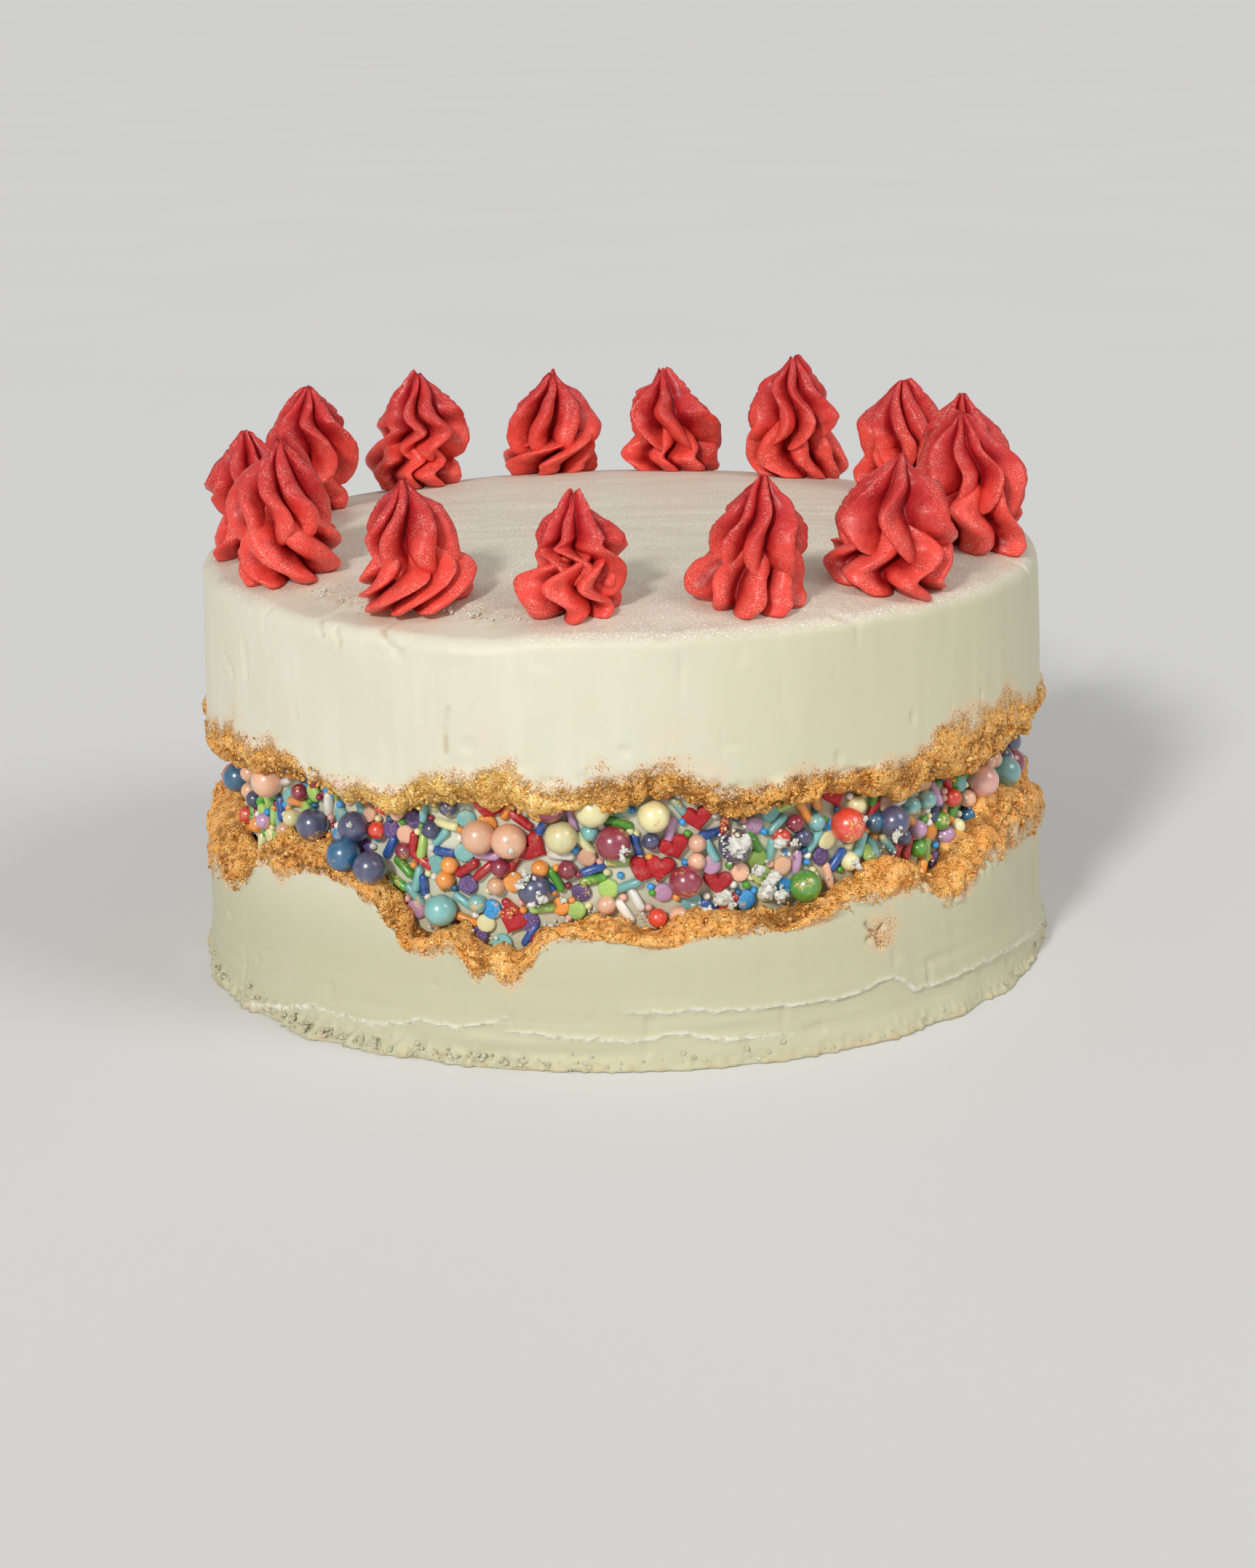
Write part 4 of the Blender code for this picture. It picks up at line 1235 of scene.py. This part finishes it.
class Graph:
    """Short calls for building a material's nodes."""

    def __init__(self, name):
        self.material = bpy.data.materials.new(name)
        self.material.use_nodes = True
        self.tree = self.material.node_tree
        self.shader = self.tree.nodes["Principled BSDF"]
        self.object = self.add("ShaderNodeTexCoord", {}, "Object")

    def feed(self, socket, value):
        if isinstance(value, bpy.types.NodeSocket):
            self.tree.links.new(value, socket)
        else:
            socket.default_value = value

    def add(self, kind, inputs, output=0, **settings):
        node = self.tree.nodes.new(kind)
        for key, value in settings.items():
            setattr(node, key, value)
        for key, value in inputs.items():
            self.feed(node.inputs[key], value)
        return node.outputs[output]

    def finish(self, **inputs):
        for key, value in inputs.items():
            self.feed(self.shader.inputs[key.replace("_", " ")], value)
        return self.material

    def field(self, name, output="Fac"):
        return self.add("ShaderNodeAttribute", {}, output, attribute_name=name)

    def math(self, operation, a, b=0.0):
        return self.add("ShaderNodeMath", {0: a, 1: b}, operation=operation)

    def times(self, a, b):
        return self.math("MULTIPLY", a, b)

    def plus(self, a, b):
        return self.math("ADD", a, b)

    def channel(self, colour, name):
        return self.add("ShaderNodeSeparateColor", {"Color": colour}, name)

    def place_along(self, axis):
        """The object coordinate along this axis, in metres."""
        return self.add("ShaderNodeSeparateXYZ", {"Vector": self.object}, axis)

    def grain(self, size, detail=3.0, rough=0.6, stretch=(1, 1, 1)):
        """Noise with features of this size in millimetres, between 0 and 1."""
        at = self.object
        if stretch != (1, 1, 1):
            at = self.add("ShaderNodeMapping", {"Vector": at, "Scale": stretch})
        inputs = {"Vector": at, "Scale": 1 / (size * MM), "Detail": detail, "Roughness": rough}
        return self.add("ShaderNodeTexNoise", inputs)

    def cells(self, size, output="Distance"):
        inputs = {"Vector": self.object, "Scale": 1 / (size * MM)}
        return self.add("ShaderNodeTexVoronoi", inputs, output)

    def ramp(self, value, low, high, out_low=0.0, out_high=1.0):
        """A smooth step from out_low to out_high as the value goes from low to high."""
        inputs = {
            "Value": value, "From Min": low, "From Max": high, "To Min": out_low, "To Max": out_high,
        }
        return self.add("ShaderNodeMapRange", inputs, interpolation_type="SMOOTHSTEP")

    def mix(self, share, a, b, blend="MIX"):
        """A blend of two colours."""
        node = self.tree.nodes.new("ShaderNodeMix")
        node.data_type = "RGBA"
        node.blend_type = blend
        self.feed(node.inputs[0], share)
        self.feed(node.inputs[6], a)
        self.feed(node.inputs[7], b)
        return node.outputs[2]

    def bump(self, height, distance, strength=1.0, normal=None):
        inputs = {"Height": height, "Distance": distance * MM, "Strength": strength}
        if normal is not None:
            inputs["Normal"] = normal
        return self.add("ShaderNodeBump", inputs, "Normal")

    def specks(self, size, share, radius=0.3):
        """Scattered round specks: cells of this size, of which this share holds one."""
        near = self.ramp(self.cells(size), radius, radius * 0.6)
        chosen = self.math("LESS_THAN", self.channel(self.cells(size, "Color"), "Red"), share)
        return self.times(near, chosen)


GRAIN = 0.55  # size of a grain of glitter


def rgb(red, green, blue):
    return (red, green, blue, 1.0)


def glitter(graph, size):
    """Grains of glitter: nearness to a grain's middle, two draws for each grain, and its tilt."""
    near = graph.ramp(graph.cells(size), 0.75, 0.2)
    draw = graph.cells(size, "Color")
    tilt = graph.add("ShaderNodeVectorMath", {0: draw, 1: (0.5, 0.5, 0.5)}, operation="SUBTRACT")
    return near, graph.channel(draw, "Red"), graph.channel(draw, "Green"), tilt


def tilted(graph, normal, tilt, amount):
    """The normal turned a little by each grain's tilt."""
    sway = graph.add("ShaderNodeVectorMath", {0: tilt, "Scale": amount}, operation="SCALE")
    turned = graph.add("ShaderNodeVectorMath", {0: normal, 1: sway}, operation="ADD")
    return graph.add("ShaderNodeVectorMath", {0: turned}, operation="NORMALIZE")


def gold_colours(graph, warm, thin, grains):
    """Glitter over peach icing, pale yellow where warm is 0, ochre at 1, and sparse where thin is 1;
    its palest grains are painted glints and its hollows painted shade.
    """
    grain, first, second, _ = grains
    shade = graph.grain(2.6, 4.0, 0.7)
    patch = graph.grain(1.3, 2.0, 0.5)
    leaf = graph.mix(warm, rgb(1.0, 0.66, 0.18), rgb(0.92, 0.43, 0.09))
    pale = graph.mix(warm, rgb(1.0, 0.91, 0.50), rgb(1.0, 0.78, 0.34))
    dark = graph.mix(warm, rgb(0.58, 0.28, 0.04), rgb(0.37, 0.15, 0.015))
    light = graph.plus(first, graph.ramp(shade, 0.3, 0.7, -0.25, 0.25))
    colour = graph.mix(graph.ramp(light, 0.10, 0.24), dark, leaf)
    # painted highlight: the palest grains are painted glints
    colour = graph.mix(graph.ramp(light, 0.55, 0.75), colour, pale)
    under = graph.mix(graph.ramp(shade, 0.35, 0.65), rgb(0.88, 0.35, 0.06), rgb(1.0, 0.54, 0.20))
    bare = graph.plus(graph.times(thin, 0.9), graph.ramp(patch, 0.35, 0.65, -0.2, 0.2))
    bare = graph.math("LESS_THAN", second, bare)
    colour = graph.mix(bare, colour, under)
    # painted shade darkens the hollows, and some grains shine like metal
    deep = graph.ramp(graph.field("hollow"), 0.5, 1.0, 0.0, 0.75)
    shadow = graph.mix(warm, rgb(0.50, 0.25, 0.05), rgb(0.20, 0.07, 0.01))
    colour = graph.mix(deep, colour, shadow)
    metal = graph.times(graph.math("SUBTRACT", 1.0, bare), graph.ramp(first, 0.58, 0.66))
    bright = graph.mix(warm, rgb(1.0, 0.66, 0.26), rgb(1.0, 0.52, 0.16))
    colour = graph.mix(graph.times(metal, graph.ramp(grain, 0.0, 0.4)), colour, bright)
    return colour, graph.times(metal, 0.8)


def plain_cream(graph, up):
    """Scraped cream, stained by the sprinkles, with painted shade that darkens it low down and on the
    right.
    """
    broad = graph.grain(30.0, 2.0)
    cream = graph.mix(broad, rgb(0.70, 0.685, 0.52), rgb(0.765, 0.755, 0.625))
    streak = graph.grain(5.0, 3.0, 0.6, (1, 1, 0.15))
    cream = graph.mix(graph.ramp(streak, 0.45, 0.7, 0.0, 0.35), cream, rgb(0.80, 0.79, 0.69))
    bleed = graph.mix(
        graph.ramp(graph.grain(16.0, 1.0), 0.42, 0.58), rgb(0.86, 0.66, 0.56), rgb(0.66, 0.76, 0.62)
    )
    stain = graph.ramp(graph.grain(9.0), 0.45, 0.68, 0, 0.7)
    stain = graph.times(graph.field("stain"), stain)
    cream = graph.mix(stain, cream, bleed)
    # painted shade: the cream darkens towards the right-hand side
    aside = graph.ramp(graph.place_along("X"), -15 * MM, 60 * MM, 0.0, 0.66)
    aside = graph.times(aside, graph.ramp(up, 10 * MM, 45 * MM, 0.2, 1.0))
    cream = graph.mix(aside, cream, rgb(0.58, 0.56, 0.36))
    # painted shade: the cream darkens towards the bottom
    return graph.mix(graph.ramp(up, 52 * MM, 20 * MM, 0.0, 0.85), cream, rgb(0.53, 0.525, 0.35))


def pearl_dusted(graph, cream):
    """Pearl dust on the top, with brown-grey specks partly painted shade, white specks painted as the
    glints of its glitter, and a tan band where its edge was scraped.
    """
    dust = graph.field("dust")
    silver = graph.mix(
        graph.grain(9.0, 4.0, 0.6, (0.25, 1, 1)), rgb(0.58, 0.51, 0.40), rgb(0.88, 0.83, 0.70)
    )
    cream = graph.mix(graph.times(dust, 0.85), cream, silver)
    # a tan band along the scraped ledge
    patch = graph.ramp(graph.grain(5.0, 4.0, 0.6, (0.4, 1, 1)), 0.42, 0.60)
    scrape = graph.times(graph.field("scrape"), patch)
    # painted shade: the same tan darkens the cracks
    cream = graph.mix(graph.times(scrape, 0.65), cream, rgb(0.62, 0.47, 0.32))
    # brown-grey specks of the dust, partly painted shade on the top
    dust_shade_specks = graph.times(dust, graph.ramp(graph.grain(0.5, 3.0, 0.7), 0.55, 0.3))
    cream = graph.mix(graph.times(dust_shade_specks, 0.45), cream, rgb(0.42, 0.36, 0.26))
    # painted highlight: white specks of the dust are painted glints of its glitter
    pale = graph.ramp(graph.grain(0.4, 2.0, 0.5), 0.57, 0.66, 0.0, 0.9)
    pale = graph.math("MAXIMUM", pale, graph.specks(1.3, 0.35, 0.22))
    return graph.mix(graph.times(pale, dust), cream, rgb(0.98, 0.97, 0.92))


def marked(graph, cream, up):
    """Dark specks, pale torn edges of thin icing, and the stained foot."""
    dark = graph.ramp(graph.grain(12.0), 0.40, 0.65)
    dark = graph.times(graph.specks(2.2, 0.35, 0.075), dark)
    cream = graph.mix(dark, cream, rgb(0.40, 0.30, 0.16))
    torn = graph.ramp(graph.grain(1.6, 3.0, 0.6), 0.35, 0.55)
    torn = graph.times(graph.field("torn"), torn)
    cream = graph.mix(graph.times(torn, 0.8), cream, rgb(0.90, 0.90, 0.84))
    foot = graph.ramp(up, 3.5 * MM, 0.0, 0.0, 0.8)
    foot = graph.times(foot, graph.ramp(graph.grain(4.0), 0.40, 0.62))
    return graph.mix(foot, cream, rgb(0.58, 0.46, 0.28))


def icing_material():
    """Cream, with gold that thins out over peach icing at its edge."""
    graph = Graph("white_buttercream")
    up = graph.place_along("Z")
    cream = marked(graph, pearl_dusted(graph, plain_cream(graph, up)), up)
    fleck = graph.grain(0.5, 3.0, 0.75)
    patch = graph.grain(4.0, 3.0)
    edge = graph.plus(graph.times(fleck, 0.9), graph.times(patch, 0.5))
    edge = graph.plus(graph.field("gold"), edge)
    gold = graph.ramp(edge, 1.06, 1.16)
    grains = glitter(graph, GRAIN)
    leaf, shiny = gold_colours(graph, graph.field("warm"), graph.field("thin"), grains)
    peach = graph.ramp(edge, 0.86, 1.08, 0.0, 0.7)
    cream = graph.mix(peach, cream, rgb(0.86, 0.52, 0.30))
    fringe = graph.ramp(graph.field("gold"), 0.34, 0.08, 0.0, 0.65)
    leaf = graph.mix(fringe, leaf, rgb(0.95, 0.60, 0.28))
    colour = graph.mix(gold, cream, leaf)
    metal = graph.times(gold, shiny)
    rough = graph.ramp(metal, 0.0, 0.8, 0.52, 0.26)
    fine = graph.bump(graph.grain(0.7, 4.0, 0.7), 0.10, 0.5)
    near, _, _, tilt = grains
    crumple = graph.plus(graph.times(near, 0.5), graph.grain(1.8, 2.0, 0.5))
    normal = graph.bump(graph.times(crumple, gold), 0.35, 1.0, fine)
    normal = tilted(graph, normal, tilt, graph.times(metal, 0.9))
    return graph.finish(
        Base_Color=colour, Metallic=metal, Roughness=rough, Normal=normal,
        Specular_Tint=rgb(1.0, 0.88, 0.68), Subsurface_Weight=0.18, Subsurface_Radius=(1.0, 0.8, 0.5),
        Subsurface_Scale=2 * MM,
    )


def flake_material():
    graph = Graph("gold_leaf")
    tint = graph.field("tint", "Color")
    grains = glitter(graph, GRAIN)
    warm, thin = graph.channel(tint, "Red"), graph.channel(tint, "Green")
    colour, metal = gold_colours(graph, warm, thin, grains)
    normal = graph.bump(grains[0], 0.2, 1.0)
    normal = tilted(graph, normal, grains[3], graph.times(metal, 0.9))
    rough = graph.ramp(metal, 0.0, 0.8, 0.52, 0.26)
    return graph.finish(
        Base_Color=colour, Metallic=metal, Roughness=rough, Normal=normal,
        Specular_Tint=rgb(1.0, 0.78, 0.45),
    )


def red_icing_material():
    graph = Graph("red_buttercream")
    crest = graph.field("crest")
    # painted shade: grooves between the ridges are a darker red than the lit crests
    lit_crest_share = graph.plus(crest, graph.ramp(graph.grain(6.0, 2.0), 0.3, 0.7, -0.2, 0.2))
    red = graph.mix(graph.ramp(lit_crest_share, 0.12, 1.0), rgb(0.30, 0.0, 0.002), rgb(0.86, 0.072, 0.050))
    # painted shade: each tier is a darker red higher up
    above = graph.ramp(graph.field("rise"), 0.35, 0.75, 0.0, 0.6)
    red = graph.mix(above, red, rgb(0.46, 0.012, 0.022))
    # painted shade darkens the pits
    pits = graph.specks(1.7, 0.35, 0.16)
    red = graph.mix(graph.times(pits, 0.5), red, rgb(0.25, 0.01, 0.01))
    # painted highlight: pale glints of glitter on the crests
    painted_glint = graph.ramp(graph.grain(0.22, 2.0, 0.5), 0.59, 0.66)
    painted_glint = graph.times(painted_glint, graph.ramp(crest, 0.35, 0.95, 0.1, 1.0))
    patch = graph.ramp(graph.grain(5.0), 0.40, 0.62, 0.15, 1.0)
    painted_glint = graph.times(painted_glint, patch)
    red = graph.mix(graph.times(painted_glint, 0.8), red, rgb(1.0, 0.80, 0.68))
    rough = graph.ramp(graph.grain(2.0), 0.3, 0.7, 0.36, 0.52)
    height = graph.math("SUBTRACT", graph.grain(0.9, 4.0, 0.65), pits)
    normal = graph.bump(height, 0.16, 0.8)
    return graph.finish(
        Base_Color=red, Roughness=rough, Normal=normal,
        Specular_IOR_Level=0.28, Coat_Weight=0.12, Coat_Roughness=0.25, Subsurface_Weight=0.12,
        Subsurface_Radius=(1.0, 0.2, 0.12), Subsurface_Scale=2 * MM,
    )


def sprinkle_material(name, rough, coat, mottle, sugar):
    """Sugar sprinkles of one kind: their own colour, mottled darker and paler, the paler mottling
    partly a painted pearly sheen, pale sugar specks painted as glints, some with gloss.
    """
    graph = Graph(name)
    tint = graph.field("tint", "Color")
    darker = graph.mix(1.0, tint, rgb(0.62, 0.62, 0.68), "MULTIPLY")
    paler = graph.mix(0.28, tint, rgb(0.95, 0.93, 0.88))
    cloud = graph.grain(2.2, 4.0, 0.65)
    colour = graph.mix(graph.ramp(cloud, 0.48, 0.30, 0.0, mottle), tint, darker)
    # partly painted sheen: the paler mottling stands in part for a pearly sheen
    colour = graph.mix(graph.ramp(cloud, 0.50, 0.68, 0.0, mottle), colour, paler)
    gilt = graph.ramp(graph.grain(0.5), 0.48, 0.56)
    gilt = graph.times(gilt, graph.ramp(graph.grain(7.0), 0.58, 0.66))
    colour = graph.mix(gilt, colour, rgb(0.80, 0.50, 0.16))
    # painted highlight: pale specks are the painted glints of sugar grains
    pale = graph.ramp(graph.grain(0.45, 3.0, 0.7), 0.5, 0.68)
    colour = graph.mix(graph.times(pale, sugar), colour, rgb(0.95, 0.93, 0.90))
    normal = graph.bump(graph.grain(0.6, 3.0), 0.10, 0.3 + sugar)
    roughness = graph.ramp(graph.grain(1.2), 0.3, 0.7, rough, rough + 0.12)
    return graph.finish(
        Base_Color=colour, Roughness=roughness, Normal=normal,
        Coat_Weight=coat, Coat_Roughness=0.24, Coat_IOR=1.8, Subsurface_Weight=0.08,
        Subsurface_Scale=1 * MM,
    )


def crumb_material():
    graph = Graph("icing_crumb")
    tint = graph.field("tint", "Color")
    darker = graph.mix(1.0, tint, rgb(0.80, 0.79, 0.74), "MULTIPLY")
    colour = graph.mix(graph.ramp(graph.grain(1.4), 0.35, 0.65), darker, tint)
    normal = graph.bump(graph.grain(0.5, 4.0), 0.2, 1.0)
    return graph.finish(
        Base_Color=colour, Roughness=0.55, Normal=normal,
        Subsurface_Weight=0.2, Subsurface_Scale=1 * MM,
    )


def floor_material():
    graph = Graph("pale_floor")
    colour = graph.mix(graph.grain(220.0, 1.0), rgb(0.76, 0.77, 0.78), rgb(0.79, 0.80, 0.81))
    return graph.finish(Base_Color=colour, Roughness=0.6)


# Studio


def add_floor():
    bpy.ops.mesh.primitive_circle_add(vertices=96, radius=FLOOR_R, fill_type="NGON")
    floor = bpy.context.object
    floor.name = "floor"
    floor.data.materials.append(floor_material())


def add_sun(name, bearing, elevation, spread, power, colour):
    """A soft light from far away, which falls alike on the cake and on all of the floor."""
    data = bpy.data.lights.new(name, "SUN")
    data.angle = math.radians(spread)
    data.energy = power
    data.color = colour
    turn = math.radians(elevation)
    towards = Vector(place(bearing, math.cos(turn), math.sin(turn)))
    add_object(name, data).rotation_euler = (-towards).to_track_quat("-Z", "Y").to_euler()


def add_studio():
    for name, light in SUNS.items():
        add_sun(name, *light)
    world = bpy.data.worlds.new("studio")
    bpy.context.scene.world = world
    world.use_nodes = True
    background = world.node_tree.nodes["Background"]
    background.inputs["Color"].default_value = WORLD_COLOUR
    background.inputs["Strength"].default_value = WORLD_POWER
    bpy.context.scene.view_settings.view_transform = "Standard"


# Dressing the cake


def dress(piece, material, slot, *nodes):
    piece.data.materials.clear()
    piece.data.materials.append(material)
    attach(piece, ROOT)
    if nodes:
        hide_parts(*nodes)


CAD_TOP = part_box("swirl_02")[1][2] / MM


def main():
    add_camera()
    add_studio()
    add_floor()
    icing = icing_material()
    dress(upper_coat(), icing, WHITE_ICING, "icing_upper")
    dress(lower_coat(), icing, WHITE_ICING, "icing_lower")
    dress(band_core(), icing, WHITE_ICING, "cake_band")
    dress(icing_crumbs(), crumb_material(), WHITE_ICING)
    dress(gold_flakes(), flake_material(), WHITE_ICING)
    finishes = {
        "pearl": sprinkle_material("pearl_sugar", 0.40, 1.0, 0.22, 0.0),
        "bead": sprinkle_material("bead_sugar", 0.38, 0.8, 0.2, 0.0),
        "dot": sprinkle_material("dot_sugar", 0.35, 0.3, 0.3, 0.0),
        "rod": sprinkle_material("rod_sugar", 0.32, 0.3, 0.4, 0.0),
        "disc": sprinkle_material("disc_sugar", 0.62, 0.0, 0.3, 0.22),
        "heart": sprinkle_material("heart_sugar", 0.60, 0.0, 0.3, 0.06),
    }
    for kind, piece in make_sprinkles().items():
        dress(piece, finishes[kind], SPRINKLES)
    red = red_icing_material()
    for index, spec in enumerate(SWIRLS):
        piece, node = make_swirl(index, spec)
        dress(piece, red, RED_ICING, node)


main()
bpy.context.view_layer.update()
